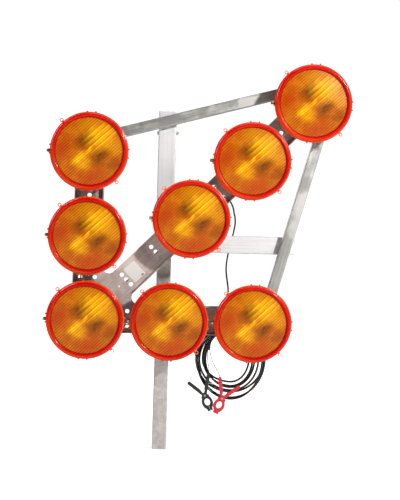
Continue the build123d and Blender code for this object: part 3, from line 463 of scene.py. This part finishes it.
def amber_disc(settings):
    """Fluted amber plastic: orange body colour with painted light on it: painted gold highlights and
    reflections of the bowl behind it, painted brown shade, and painted shade in the flutes, which break the
    highlights into fine lines; the gold also shows as a painted glow."""
    material, tree, shader, _ = finish("Amber fluted lens", settings.amber, Transmission_Weight=0.12, IOR=1.32,
                                       Coat_Weight=0.04, Coat_Roughness=0.08, Emission_Strength=DISC_PAINTED_GLOW)
    flat = put(tree, "ShaderNodeUVMap", uv_map="face_map").outputs[0]
    # X runs along the flutes and Y across them, in lens radii
    local = placed(tree, flat, shift=(-0.5, -0.5, 0))
    local = placed(tree, local, turn=(0, 0, -sizes().flute_lean))
    local = placed(tree, local, stretch=(2.6, 2.6, 1))
    axes = put(tree, "ShaderNodeSeparateXYZ", {0: local})
    along, across = axes.outputs[0], axes.outputs[1]
    streaks = noise(tree, placed(tree, local, stretch=(1.1, 21.0, 1)), 1.0, 2.0, 0.6)
    grain = noise(tree, placed(tree, local, stretch=(5.0, 26.0, 1)), 1.0, 3.0, 0.65)
    wander = noise(tree, local, 2.2, 3.0, 0.55)
    # the painted light and shade patches are pulled about a little, so that none has a plain round edge
    cloud = put(tree, "ShaderNodeTexNoise", {"Vector": local, "Scale": 2.6, "Detail": 3.0})
    pull = vectors(tree, "SUBTRACT", cloud.outputs["Color"], (0.5, 0.5, 0.5))
    pull = vectors(tree, "MULTIPLY", pull, (0.32, 0.32, 0.0))
    warped = vectors(tree, "ADD", local, pull)
    patch = {key: blob(tree, warped, *spot) for key, spot in LENS_PAINTED_LIGHT.items()}
    body = tint(tree, spread(tree, wander, 0.35, 0.65), (0.50, 0.110, 0.001, 1), (0.62, 0.180, 0.001, 1))
    red = times(tree, larger(tree, patch["red_left"], patch["red_low"]), 0.9)
    body = tint(tree, red, body, (0.50, 0.052, 0.001, 1))
    # painted reflection: lighter gold patches at the right edge and top, where the bowl shows through
    gold = times(tree, larger(tree, patch["gold_edge"], patch["gold_top"]), 0.65)
    body = tint(tree, gold, body, (0.66, 0.30, 0.002, 1))
    # painted shade: dark brown patches through the lens, broken up by the grain
    dark = larger(tree, patch["dark_up"], patch["dark_down"])
    dark = larger(tree, dark, times(tree, patch["dark_edge"], 0.55))
    dark = times(tree, dark, spread(tree, grain, 0.30, 0.62, 0.62, 1.0))
    body = tint(tree, times(tree, dark, 0.95), body, (0.07, 0.020, 0.0004, 1))
    # painted highlights: bright gold patches, the high ones broken into lines along the flutes and the low ones
    # into glints
    flutes = math.pi * DISC_EDGE / sizes().flute_pitch
    flute = sums(tree, "SINE", times(tree, across, 2 * flutes))
    pairs = sums(tree, "SINE", times(tree, across, flutes))
    line = spread(tree, pairs, -0.3, 0.7, 0.4, 1.0)
    line = times(tree, line, spread(tree, streaks, 0.36, 0.52, 0.34, 1.0))
    glints = spread(tree, grain, 0.42, 0.66)
    low = larger(tree, patch["gold_low"], times(tree, patch["gold_foot"], 0.6))
    low = times(tree, low, plus(tree, times(tree, glints, 0.5), 0.5))
    high = times(tree, larger(tree, patch["gold_high"], patch["gold_mid"]), line)
    bright = larger(tree, high, low)
    body = tint(tree, bright, body, (1.0, 0.62, 0.004, 1))
    # painted shade in the flute grooves, a little stronger towards one end along the flutes
    depth = spread(tree, along, -1.0, 1.0, 0.62, 0.50)
    painted_flute_shade = times(tree, spread(tree, flute, -0.6, 1.0), depth)
    body = tint(tree, painted_flute_shade, body, (0.20, 0.030, 0.0004, 1))
    # painted glow: an emission that stands in for light the bowl sends back through the plastic, strongest in
    # the painted gold highlights
    glow = tint(tree, 0.5, body, (0, 0, 0, 1))
    glow = tint(tree, times(tree, bright, 0.85), glow, (0.95, 0.50, 0.004, 1))
    feed(tree, shader.inputs, Base_Color=body, Emission_Color=glow,
         Roughness=spread(tree, wander, 0.3, 0.7, 0.2, 0.32))
    bumped(tree, shader, flute, 0.3, 0.0004)
    return material


def amber_rim(settings):
    """Thick edge of the same plastic, where its depth of colour turns red, with painted light: a painted darker
    line at its inner edge, painted lighter orange in its lower left and in its thin lip, which stays orange,
    and a painted glow all over.
    """
    material, tree, shader, where = finish("Amber lens rim", settings.rim, Coat_Weight=0.12, IOR=1.4,
                                           Coat_Roughness=0.12, Specular_IOR_Level=0.25,
                                           Emission_Strength=RIM_PAINTED_GLOW)
    flat = put(tree, "ShaderNodeUVMap", uv_map="face_map").outputs[0]
    away = vectors(tree, "SUBTRACT", flat, (0.5, 0.5, 0))
    # distance from the lamp's axis, in millimetres
    reach = times(tree, reach_of(tree, away), FACE_MAP / MM)
    cloud = noise(tree, where, 9.0, 4.0, 0.6)
    body = tint(tree, spread(tree, cloud, 0.35, 0.65), (0.52, 0.001, 0.001, 1), (0.64, 0.006, 0.001, 1))
    # painted shade: a darker red line at the rim's inner edge, where it meets the disc
    inner = spread(tree, reach, 95.4, 93.6)
    body = tint(tree, times(tree, inner, 0.85), body, (0.27, 0.004, 0.001, 1))
    # painted light: the rim is painted lighter orange in its lower left and in the thin lip all round, where
    # light gathers
    side = put(tree, "ShaderNodeSeparateXYZ", {0: away})
    lower_left = plus(tree, side.outputs[0], side.outputs[1])
    glow = times(tree, spread(tree, lower_left, -0.22, -0.62), spread(tree, reach, 96.0, 102.0))
    body = tint(tree, times(tree, glow, 0.55), body, (0.85, 0.10, 0.003, 1))
    lip = spread(tree, reach, 103.4, 105.4)
    body = tint(tree, times(tree, lip, 0.8), body, (0.80, 0.085, 0.004, 1))
    eyes = spread(tree, reach, 109.8, 112.0)
    body = tint(tree, eyes, body, (0.80, 0.20, 0.13, 1))
    # painted glow: the rim's own colour is also its emission
    feed(tree, shader.inputs, Base_Color=body, Emission_Color=body,
         Roughness=spread(tree, cloud, 0.3, 0.7, 0.16, 0.28))
    bumped(tree, shader, noise(tree, where, 260.0, 2.0), 0.05, 0.0003)
    return material


def mirror_bowl():
    """Metallised bowl with soft ripples of noise."""
    material, tree, shader, where = finish("Metallised bowl", (0.86, 0.86, 0.86), Metallic=1.0)
    cloud = noise(tree, where, 30.0, 3.0, 0.5)
    feed(tree, shader.inputs, Roughness=spread(tree, cloud, 0.3, 0.7, 0.08, 0.16),
         Base_Color=tint(tree, cloud, (0.8, 0.8, 0.8, 1), (0.92, 0.92, 0.92, 1)))
    bumped(tree, shader, noise(tree, where, 90.0, 2.0), 0.1, 0.0004)
    return material


def clear_glass():
    """Bulb glass with a faint haze."""
    material, tree, shader, where = finish("Bulb glass", (0.95, 0.97, 0.97), Transmission_Weight=0.9, IOR=1.45)
    feed(tree, shader.inputs, Roughness=spread(tree, noise(tree, where, 80.0), 0.3, 0.7, 0.02, 0.08))
    return material


def blank_label():
    """Blank anodised plate, a little stained."""
    pale = (0.86, 0.87, 0.86)
    material, tree, shader, where = finish("Blank plate", pale, Metallic=0.15)
    worn = use_group(tree, "Weathering", {"Vector": where, "Scale": 40.0})
    colour = tint(tree, times(tree, worn["Stain"], 0.3), (*pale, 1), (0.70, 0.66, 0.60, 1))
    colour = tint(tree, times(tree, worn["Speck"], 0.4), colour, (0.25, 0.22, 0.2, 1))
    feed(tree, shader.inputs, Base_Color=colour, Roughness=spread(tree, worn["Stain"], 0, 1, 0.3, 0.5))
    bumped(tree, shader, worn["Scratch"], 0.1, 0.0001)
    return material


def circuit():
    """Board green with copper traces: thin lines of a brick pattern."""
    material, tree, shader, where = finish("Board", (0.03, 0.16, 0.07), Coat_Weight=0.4)
    traces = put(tree, "ShaderNodeTexBrick", {
        "Vector": placed(tree, where, turn=(math.pi / 2, 0, 0)), "Scale": 160.0, "Mortar Size": 0.04,
        "Color1": (0.03, 0.17, 0.07, 1), "Color2": (0.02, 0.12, 0.05, 1), "Mortar": (0.45, 0.26, 0.10, 1),
    }).outputs
    feed(tree, shader.inputs, Base_Color=traces["Color"], Metallic=traces["Fac"])
    bumped(tree, shader, traces["Fac"], 0.2, 0.0001)
    return material


def stage_paper():
    """Pale floor that brightens to the white surround away from the object."""
    material, tree, shader, where = finish("Studio paper", (0.93, 0.93, 0.93), Roughness=0.9,
                                           Emission_Color=(1, 1, 1, 1))
    faint = tint(tree, noise(tree, where, 3.0, 2.0), (0.925, 0.925, 0.925, 1), (0.935, 0.935, 0.935, 1))
    seen = put(tree, "ShaderNodeLightPath").outputs["Is Camera Ray"]
    glow = spread(tree, reach_of(tree, where), 0.6, 2.2, 0.60, 1.0)
    feed(tree, shader.inputs, Base_Color=faint, Emission_Strength=times(tree, seen, glow))
    return material


def build_finishes(settings):
    """All finishes of the piece list, by a maker's name."""
    slope = math.radians(15.4)      # top brace over the horizontal
    upright = math.pi / 2
    socket = {"rough": (0.4, 0.55), "metallic": 0.35, "stain": (0.62, 0.63, 0.65), "contrast": 0.5}
    dipped = {"grain": 500.0, "bump": 0.1}
    return {
        "sheet": drawn_metal("Weathered sheet", settings.sheet, (0, math.radians(45), 0), (0.42, 0.6), 0.4,
                             (0.16, 0.10, 0.09), 0.5, 0.6),
        "brace_top": drawn_metal("Brace metal top", settings.brace, (0, slope, 0)),
        "brace_right": drawn_metal("Brace metal right", settings.brace, (0, upright - slope, 0)),
        "spacer": drawn_metal("Spacer metal", settings.brace, (0, -math.pi / 4, 0)),
        "socket_up": drawn_metal("Socket metal upright", settings.socket, (0, upright, 0), **socket),
        "socket_flat": drawn_metal("Socket metal flat", settings.socket, (0, 0, 0), **socket),
        "post": galvanised("Galvanised post", settings.post),
        "zinc": plated("Zinc plating", (0.62, 0.62, 0.60)),
        "black": moulded("Black moulding", (0.018, 0.018, 0.019)),
        "housing": moulded("Lamp housing plastic", (0.022, 0.019, 0.018), (0.3, 0.5), dust_share=0.2,
                           grain=900.0),
        "box": moulded("Box plastic", (0.07, 0.07, 0.075), (0.35, 0.5), grain=1800.0),
        "gasket": moulded("Gasket rubber", (0.02, 0.02, 0.02), (0.6, 0.8)),
        "sheath": moulded("Cable sheath", settings.sheath, (0.22, 0.34), dust_share=0.04, grain=700.0,
                          bump=0.05, Coat_Weight=0.25, Coat_Roughness=0.2),
        "wire_red": moulded("Red wire", (0.22, 0.035, 0.02), (0.3, 0.45), grain=900.0, bump=0.04),
        "wire_grey": moulded("Grey wire", (0.16, 0.16, 0.12), (0.3, 0.45), grain=900.0, bump=0.04),
        "clip_red": moulded("Red dipped vinyl", settings.clip_red, (0.25, 0.4), dust_share=0.06,
                            Coat_Weight=0.3, Coat_Roughness=0.25, **dipped),
        "clip_black": moulded("Black dipped vinyl", settings.clip_black, (0.3, 0.45), dust_share=0.12,
                              Coat_Weight=0.2, Coat_Roughness=0.3, **dipped),
        "bowl": mirror_bowl(),
        "glass": clear_glass(),
        "label": blank_label(),
        "board": circuit(),
        "disc": amber_disc(settings),
        "rim": amber_rim(settings),
    }


FINISHES = {}


# ---------------------------------------------------------------- sizes and colours a user would change
AS_LENGTH = {"subtype": "DISTANCE", "unit": "LENGTH"}
AS_COLOUR = {"subtype": "COLOR", "size": 3, "min": 0, "max": 1}


class ArrowLightSizes(PropertyGroup):
    """Sizes of the pieces made here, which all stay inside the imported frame."""
    flute_pitch: FloatProperty(name="Flute pitch", description="Distance between the flutes of a lens, in mm",
                               default=6.4, min=3.0, max=8.0)
    flute_height: FloatProperty(name="Flute height", description="Height of a flute on the inner face, in mm",
                                default=0.7, min=0.1, max=1.5)
    flute_lean: FloatProperty(name="Flute lean", description="Angle of the flutes over the horizontal",
                              default=math.radians(43), subtype="ANGLE", unit="ROTATION")
    lead_diameter: FloatProperty(name="Lead diameter", description="Sheath of the battery lead",
                                 default=0.006, min=0.005, max=0.0065, **AS_LENGTH)
    link_diameter: FloatProperty(name="Link diameter", description="Sheath of the link cable",
                                 default=0.005, min=0.003, max=0.005, **AS_LENGTH)
    wire_diameter: FloatProperty(name="Wire diameter", description="Insulation of the two clip wires",
                                 default=0.002, min=0.001, max=0.002, **AS_LENGTH)
    ring_segments: IntProperty(name="Ring segments", description="Facets round a lens rim", default=160,
                               min=48, max=256)


class ArrowLightColours(PropertyGroup):
    """Colours of the finishes."""
    amber: FloatVectorProperty(name="Amber", description="Body colour of the lens",
                               default=(0.56, 0.13, 0.003), **AS_COLOUR)
    rim: FloatVectorProperty(name="Rim", description="Colour of the lens where it is thick",
                             default=(0.72, 0.008, 0.002), **AS_COLOUR)
    sheet: FloatVectorProperty(name="Sheet", description="Folded sheet",
                               default=(0.74, 0.64, 0.61), **AS_COLOUR)
    brace: FloatVectorProperty(name="Brace", description="Diagonal braces",
                               default=(0.62, 0.62, 0.60), **AS_COLOUR)
    socket: FloatVectorProperty(name="Socket", description="Tube sockets",
                                default=(0.80, 0.82, 0.84), **AS_COLOUR)
    post: FloatVectorProperty(name="Post", description="Square post", default=(0.72, 0.69, 0.67), **AS_COLOUR)
    sheath: FloatVectorProperty(name="Sheath", description="Cable sheaths",
                                default=(0.006, 0.006, 0.0065), **AS_COLOUR)
    clip_red: FloatVectorProperty(name="Red clip", description="Dipped red clip",
                                  default=(0.66, 0.004, 0.022), **AS_COLOUR)
    clip_black: FloatVectorProperty(name="Black clip", description="Dipped black clip",
                                    default=(0.010, 0.013, 0.013), **AS_COLOUR)


def sizes():
    return bpy.context.scene.arrow_light_sizes


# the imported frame's own pieces, by finish
CAD_FINISH = {
    "sheet": "arrow_plate", "label": "rating_plate", "brace_top": "top_brace", "brace_right": "right_brace",
    "socket_up": "vertical_sleeve", "socket_flat": "horizontal_sleeve", "spacer": "sleeve_spacers clamp_blocks",
    "zinc": "rating_plate_screw brace_bolts spacer_rivets stop_bolt vertical_clamp_stud horizontal_clamp_stud "
            "lens_lock_screws flasher_screws lead_hook clip_pins",
    "black": "brace_plugs vertical_clamp_knob horizontal_clamp_knob post_head_plug bulb_holders lamp_nuts "
             "cable_glands cable_clips",
    "housing": " ".join(f"lamp_{number}_housing" for number in range(1, LAMP_COUNT + 1)),
    "post": "post", "glass": "bulbs", "gasket": "lens_gaskets", "box": "flasher_box flasher_lid",
    "board": "flasher_board", "sheath": "lamp_harness", "clip_red": "red_clip_body red_clip_lever",
    "clip_black": "black_clip_body black_clip_lever",
}
# width of the softened edges of the pieces that are moulded or dipped, in millimetres
ROUNDED = {
    "red_clip_body": 1.1, "red_clip_lever": 1.1, "black_clip_body": 1.1, "black_clip_lever": 1.1,
    "vertical_clamp_knob": 1.0, "horizontal_clamp_knob": 1.0, "cable_glands": 0.5, "lamp_nuts": 0.7,
    "brace_plugs": 0.6, "brace_bolts": 0.4, "cable_clips": 0.4, "lens_lock_screws": 0.4, "flasher_box": 0.5,
}


class ARROW_OT_finishes(Operator):
    """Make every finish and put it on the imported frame's own pieces"""
    bl_idname = "arrow_light.finishes"
    bl_label = "Frame finishes"

    def execute(self, context):
        build_groups()
        FINISHES.update(build_finishes(context.scene.arrow_light_colours))
        for finish_name, nodes in CAD_FINISH.items():
            for node in nodes.split():
                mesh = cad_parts[node].data
                mesh.materials.clear()
                mesh.materials.append(FINISHES[finish_name])
        for node, width in ROUNDED.items():
            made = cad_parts[node]
            weld = made.modifiers.new("Weld", "WELD")
            weld.merge_threshold = 5e-6
            bevel = made.modifiers.new("Bevel", "BEVEL")
            bevel.limit_method = "ANGLE"
            bevel.angle_limit = math.radians(38)
            bevel.width = width * MM
            bevel.segments = 3
            bevel.use_clamp_overlap = True
        return {"FINISHED"}


RIM_OUTLINE = [
    (92.2, -5.4), (91.6, -8.8), (92.4, -12.2), (93.9, -12.9), (94.8, -15.0), (96.6, -16.5), (99.4, -16.7),
    (102.0, -15.8), (103.6, -13.4), (104.2, -9.0), (104.7, -3.8), (105.6, -2.4), (107.3, -2.0), (108.0, -1.1),
    (108.0, 0.8), (107.2, 1.8), (106.6, 2.6), (106.5, 11.4), (106.2, 12.0), (104.5, 12.0), (104.15, 11.4),
    (104.1, 1.4), (101.4, -0.7), (101.1, -10.2), (97.2, -11.4), (95.2, -5.6),
]


EYELET_ANGLES = (133.0, 313.0)


def beside(centre, radius, angle, depth):
    """A point at a distance from a lamp's axis, at an angle in degrees and a depth."""
    angle = math.radians(angle)
    return centre + MM * np.array([radius * math.cos(angle), depth, radius * math.sin(angle)])


class ARROW_OT_lenses(Operator):
    """Lens of each lamp: fluted disc, stepped rim, eight lugs and two eyelets"""
    bl_idname = "arrow_light.lenses"
    bl_label = "Lenses"

    def execute(self, context):
        size = sizes()
        outline = softened(RIM_OUTLINE)
        for number, centre in enumerate(LAMPS, start=1):
            shells = fluted_disc(centre, size.flute_pitch, size.flute_height, size.flute_lean)
            shells.append(ring(outline, centre, size.ring_segments, paint=1))
            for quarter in range(4):
                for side in (-1, 1):
                    spot = beside(centre, 109.0, 90 * quarter + 6.2 * side - 2, -0.3)
                    shells.append(bead(spot, np.array([2.4, 1.45, 2.4]) * MM, 2.6, paint=1))
            for angle in EYELET_ANGLES:
                spot = beside(centre, 113.4, angle, -0.1)
                shells.append(eyelet(spot, 4.3 * MM, 1.3 * MM, 1.25 * MM, paint=1))
                spot = beside(centre, 108.4, angle, -0.1)
                shells.append(bead(spot, np.array([3.0, 1.2, 3.0]) * MM, 3.0, paint=1))
            body = f"lens_{number}"
            lens = piece(body, shells, [FINISHES["disc"], FINISHES["rim"]], body, centre)
            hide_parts(f"lamp_{number}_lens")
        return {"FINISHED"}


class ARROW_OT_bowls(Operator):
    """Parabolic metallised bowls behind the lenses"""
    bl_idname = "arrow_light.bowls"
    bl_label = "Bowls"

    def execute(self, context):
        # inner face: radius = lip radius x sqrt((apex - depth) / (apex - rim depth)), open at the bulb
        apex, rise, lip_radius, wall, bulb_hole = 52.0, 48.0, 91.0, 1.1, 0.85
        drop = np.linspace(math.sqrt(rise), math.sqrt(bulb_hole), 30) ** 2
        inner = np.stack([lip_radius * np.sqrt(drop / rise), apex - drop], axis=1)
        outer = inner[::-1] + wall
        lip = np.array([(92.1, 3.0), (95.8, 3.0), (95.9, 2.6), (95.8, 2.2), (91.2, 2.2), (90.9, 2.6)])
        outline = np.concatenate([inner, outer, lip])
        shells = [ring(outline, centre, 96) for centre in LAMPS]
        bowls = piece("bowls", shells, [FINISHES["bowl"]], "arrow_frame")
        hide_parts("reflectors")
        return {"FINISHED"}


def laid(name, route, diameter, finish_name):
    """A cord on one smooth curve: a NURBS spline of order 3 through its ends, with the route's points as its
    controls."""
    points = [at(*spot) for spot in route]
    curve = bpy.data.curves.new(name, "CURVE")
    curve.dimensions = "3D"
    spline = curve.splines.new("NURBS")
    spline.points.add(len(points) - 1)
    weighted = np.ones((len(points), 4), np.float32)
    weighted[:, :3] = points
    spline.points.foreach_set("co", weighted.ravel())
    spline.order_u = 3
    spline.use_endpoint_u = True
    spline.resolution_u = 6
    curve.bevel_depth = diameter / 2
    curve.bevel_resolution = 3
    curve.use_fill_caps = True
    curve.materials.append(FINISHES[finish_name])
    made = made_object(name, curve)
    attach(made, "arrow_frame")
    return made


# routes are points of the arrow's own plane: right, depth and up, in millimetres
LEAD_START = [
    (276, 107, -11), (264, 107, -11.2), (251, 106.8, -14.5), (241, 106.3, -23.5), (236.5, 105.8, -36.5),
    (239, 105.3, -50.5), (247.5, 105, -62.5), (260, 105, -71), (275, 105, -77), (290, 105, -82.5),
    (303, 105.3, -88.5), (313.5, 106.3, -98),
]
# each turn of the coil: its depth, then how far it reaches left, down, right and up
COIL_TURNS = [
    (108.2, 317, -223, 512, -17.6), (114.6, 312, -207, 509, -18.0), (114.6, 331, -178, 466, -24.8),
    (108.2, 339, -193, 482, -24.4), (101.7, 333, -188, 475, -24.8), (101.7, 315, -226, 504, -17.6),
    (95.3, 321, -200, 492, -18.0),
]
LEAD_END = [(392, 95.3, -22.5), (374, 95.3, -32), (360.5, 95.3, -46), (352, 95.3, -62), (349, 95.2, -80)]
COIL_MIDDLE = (414.0, -112.0)


def coil_points():
    """Turns of the hung coil: every turn is four quarter ellipses, left to bottom to right to top, that share
    their ends; in the last quarter the cord moves over to the depth and the left reach of the next turn."""
    middle_u, middle_v = COIL_MIDDLE
    points = []
    for number, (depth, left, low, right, high) in enumerate(COIL_TURNS):
        following = COIL_TURNS[min(number + 1, len(COIL_TURNS) - 1)]
        last = number == len(COIL_TURNS) - 1
        for step in range(0 if number else 1, 13 if last else 16):
            turn = math.pi * (1 + step / 8)
            across, rise = math.cos(turn), math.sin(turn)
            near_left = left if step < 8 else following[1]
            reach_u = (middle_u - near_left) if across < 0 else (right - middle_u)
            reach_v = (middle_v - low) if rise < 0 else (high - middle_v)
            moved = max(0.0, (step - 12) / 4)
            points.append((middle_u + reach_u * across, depth + (following[0] - depth) * moved,
                           middle_v + reach_v * rise))
    return points


class ARROW_OT_battery_lead(Operator):
    """Battery lead: out of its gland, round the coil on its hook, and down into the split boot"""
    bl_idname = "arrow_light.battery_lead"
    bl_label = "Battery lead"

    def execute(self, context):
        size = sizes()
        route = LEAD_START + coil_points() + LEAD_END
        lead = laid("lead_cord", route, size.lead_diameter, "sheath")
        # boot: a sleeve round the sheath that flattens over the two wires
        path = np.array([(2.8, 16.0), (1.4, 10.0), (0.4, 4.0), (0.0, -2.0), (0.0, -6.0)])
        widths = np.array([7.0, 7.4, 8.0, 8.6, 8.2])
        depths = np.array([7.0, 7.2, 6.4, 5.0, 4.2])
        boot = piece("lead_boot", [bar(path, widths, depths, at(349, 95.2, -78), 2.2)], [FINISHES["black"]],
                     "arrow_frame")
        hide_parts("battery_lead", "lead_coil")
        return {"FINISHED"}


LINK_ROUTE = [
    (376, 93, 352), (387, 94, 347), (397, 97, 339), (404, 104, 328), (409, 116, 316), (412, 131, 304),
    (417, 148, 290), (418, 163, 272), (415, 174, 251), (410, 179, 227), (404, 178, 203), (399, 169, 180),
    (395, 155, 158), (394, 140, 136), (397, 127, 113), (400, 117, 90), (401, 111, 69), (398, 108, 54),
    (394, 107, 41), (388.5, 107, 29.5), (380, 107, 22.2), (370, 107, 20),
]
RED_WIRE = [
    (351.2, 95, -82), (352.6, 91, -91), (354.8, 87.5, -102), (359, 85, -115), (365, 83, -128), (373, 80, -140),
    (379.5, 77, -152), (381.5, 74.5, -162), (381.5, 74, -170),
]
BLACK_WIRE = [
    (346.8, 95, -83), (345.4, 90.5, -93), (344.8, 87.5, -107), (347, 87, -121), (350, 86, -134),
    (351, 85, -147), (349.5, 85, -157), (348, 85, -164),
]


class ARROW_OT_link_cable(Operator):
    """Link cable: from the sheet's edge, round behind the level socket and down into the flasher box"""
    bl_idname = "arrow_light.link_cable"
    bl_label = "Link cable"

    def execute(self, context):
        size = sizes()
        link = laid("link_cord", LINK_ROUTE[::-1], size.link_diameter, "sheath")
        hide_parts("link_cable")
        return {"FINISHED"}


CLIPS = {
    "red": {"pivot": (381.0, 74.0, -238.0), "turn": math.radians(23.5)},
    "black": {"pivot": (348.0, 85.0, -232.0), "turn": math.radians(-22.5)},
}


def clip_axes(turn):
    """The clip's own right and up, turned in the arrow's plane."""
    return (math.cos(turn), 0.0, -math.sin(turn)), (math.sin(turn), 0.0, math.cos(turn))


def spring_wire(colour):
    """Torsion spring of a clip: four turns round the pin, with a leg up the inside of each handle."""
    place = CLIPS[colour]
    right, up = (np.array(axis) for axis in clip_axes(place["turn"]))
    middle = np.array(at(*place["pivot"])) + up * 21 * MM
    turn = np.linspace(math.radians(-62), math.radians(-62 + 360 * 3 + 304), 96)
    deep = np.linspace(-3.4, 3.4, len(turn))
    coil = np.stack([4.0 * np.sin(turn), deep, 4.0 * np.cos(turn)], axis=1)
    leg = np.linspace(1, 0, 6)[:-1, None]
    start = coil[0] + leg * np.array([-9.0, 0.0, 15.0])
    stop = coil[-1] + leg[::-1] * np.array([9.0, 0.0, 15.0])
    line = np.concatenate([start, coil, stop])
    spots = middle + MM * (line[:, :1] * right + line[:, 1:2] * np.array([0.0, 1.0, 0.0]) + line[:, 2:] * up)
    return piece(f"{colour}_clip_spring", [tube(spots, 0.65 * MM)], [FINISHES["zinc"]], "arrow_frame")


def tube(spots, radius, sides=10):
    """A round wire along a path: circles across it, in frames carried along without twist, tapered shut."""
    step = directions(spots)
    flat = np.cross(step, np.array([0.0, 1.0, 0.0]))
    flat /= np.linalg.norm(flat, axis=1)[:, None]
    third = np.cross(step, flat)
    phi = circle(sides)
    size = np.full(len(spots), radius)
    size[[0, -1]] = 0.0
    ring_of = np.cos(phi)[:, None] * flat[:, None, :] + np.sin(phi)[:, None] * third[:, None, :]
    return shell(spots[:, None, :] + size[:, None, None] * ring_of, close_columns=True)


class ARROW_OT_clips(Operator):
    """Springs of the battery clips, and the two wires that end in them"""
    bl_idname = "arrow_light.clips"
    bl_label = "Clips and wires"

    def execute(self, context):
        size = sizes()
        for colour, route in (("red", RED_WIRE), ("black", BLACK_WIRE)):
            spring = spring_wire(colour)
            finish_name = "wire_red" if colour == "red" else "wire_grey"
            wire = laid(f"{colour}_clip_wire", route, size.wire_diameter, finish_name)
            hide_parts(f"{colour}_wire")
        return {"FINISHED"}


def lamp_light(name, place, target, size, power, colour):
    """A square area light aimed at a point."""
    light = bpy.data.lights.new(name, "AREA")
    light.shape = "SQUARE"
    light.size = size
    light.energy = power
    light.color = colour
    made = made_object(name, light)
    made.location = place
    made.rotation_euler = (Vector(target) - Vector(place)).to_track_quat("-Z", "Y").to_euler()
    made.visible_camera = False


class ARROW_OT_studio(Operator):
    """Plain pale floor, soft lights, white surround and the camera"""
    bl_idname = "arrow_light.studio"
    bl_label = "Studio"

    def execute(self, context):
        scene = context.scene
        # floor: rings of a growing radius round the post, flat
        radius = np.array([0.0, 0.5, 1.0, 2.0, 4.0, 9.0, 20.0, 60.0])
        turn = circle(48)
        points = np.stack([np.cos(turn), np.sin(turn), 0 * turn], axis=-1) * radius[:, None, None]
        verts, faces, _ = shell(points, close_columns=True)
        mesh = bpy.data.meshes.new("floor")
        mesh.from_pydata(verts.tolist(), [], faces.tolist())
        mesh.materials.append(stage_paper())
        mesh.polygons.foreach_set("use_smooth", [True] * len(mesh.polygons))
        made_object("floor", mesh)

        target = (0.06, -0.12, 0.62)
        lamp_light("key_light", (2.38, -3.57, 2.34), target, 0.28, 192.0, (1.0, 0.97, 0.93))
        lamp_light("fill_light", (-2.2, -3.0, 1.2), target, 2.0, 6.0, (0.93, 0.96, 1.0))
        lamp_light("top_light", (0.3, 0.9, 3.0), target, 1.6, 18.0, (1.0, 1.0, 1.0))
        lamp_light("back_light", (-1.8, 3.2, 1.9), target, 1.8, 46.0, (1.0, 0.99, 0.97))
        world = bpy.data.worlds.new("Studio air")
        world.use_nodes = True
        tree = world.node_tree
        air = tree.nodes["Background"].inputs
        air["Color"].default_value = (0.96, 0.98, 1.0, 1)
        seen = put(tree, "ShaderNodeLightPath").outputs["Is Camera Ray"]
        feed(tree, air, Strength=plus(tree, seen, 0.12))
        scene.world = world
        scene.view_settings.view_transform = "Standard"
        scene.view_settings.look = "None"
        scene.view_settings.exposure = 0.0

        camera = bpy.data.cameras.new("camera")
        camera.lens = 91.46
        camera.sensor_width = 36.0
        camera.clip_end = 50.0
        made = made_object("camera", camera)
        yaw, pitch, roll = (math.radians(angle) for angle in (-2.456, -1.691, -1.625))
        turned = (Matrix.Rotation(yaw, 3, "Z") @ Matrix.Rotation(pitch, 3, "X") @ Matrix.Rotation(roll, 3, "Y")
                  @ Matrix.Rotation(math.pi / 2, 3, "X"))
        made.matrix_world = Matrix.Translation((-0.0536, -3.643, 0.6815)) @ turned.to_4x4()
        scene.camera = made
        return {"FINISHED"}


# ---------------------------------------------------------------- add-on
class ARROW_PT_workshop(Panel):
    """Steps that build the arrow light, in order"""
    bl_idname = "ARROW_PT_workshop"
    bl_label = "Arrow Light"
    bl_space_type = "VIEW_3D"
    bl_region_type = "UI"
    bl_category = "Arrow Light"

    def draw(self, context):
        layout = self.layout
        for settings in (context.scene.arrow_light_sizes, context.scene.arrow_light_colours):
            column = layout.column()
            for key in settings.__annotations__:
                column.prop(settings, key)
        for step in STEPS:
            layout.operator(step.bl_idname)


STEPS = (ARROW_OT_studio, ARROW_OT_finishes, ARROW_OT_battery_lead, ARROW_OT_link_cable, ARROW_OT_clips,
         ARROW_OT_lenses, ARROW_OT_bowls)
CLASSES = (ArrowLightSizes, ArrowLightColours, *STEPS, ARROW_PT_workshop)


def register():
    for made in CLASSES:
        bpy.utils.register_class(made)
    bpy.types.Scene.arrow_light_sizes = PointerProperty(type=ArrowLightSizes)
    bpy.types.Scene.arrow_light_colours = PointerProperty(type=ArrowLightColours)


def unregister():
    del bpy.types.Scene.arrow_light_colours
    del bpy.types.Scene.arrow_light_sizes
    for made in reversed(CLASSES):
        bpy.utils.unregister_class(made)


def main():
    register()
    for step in STEPS:
        family, name = step.bl_idname.split(".")
        getattr(getattr(bpy.ops, family), name)()


if __name__ == "__main__":
    main()
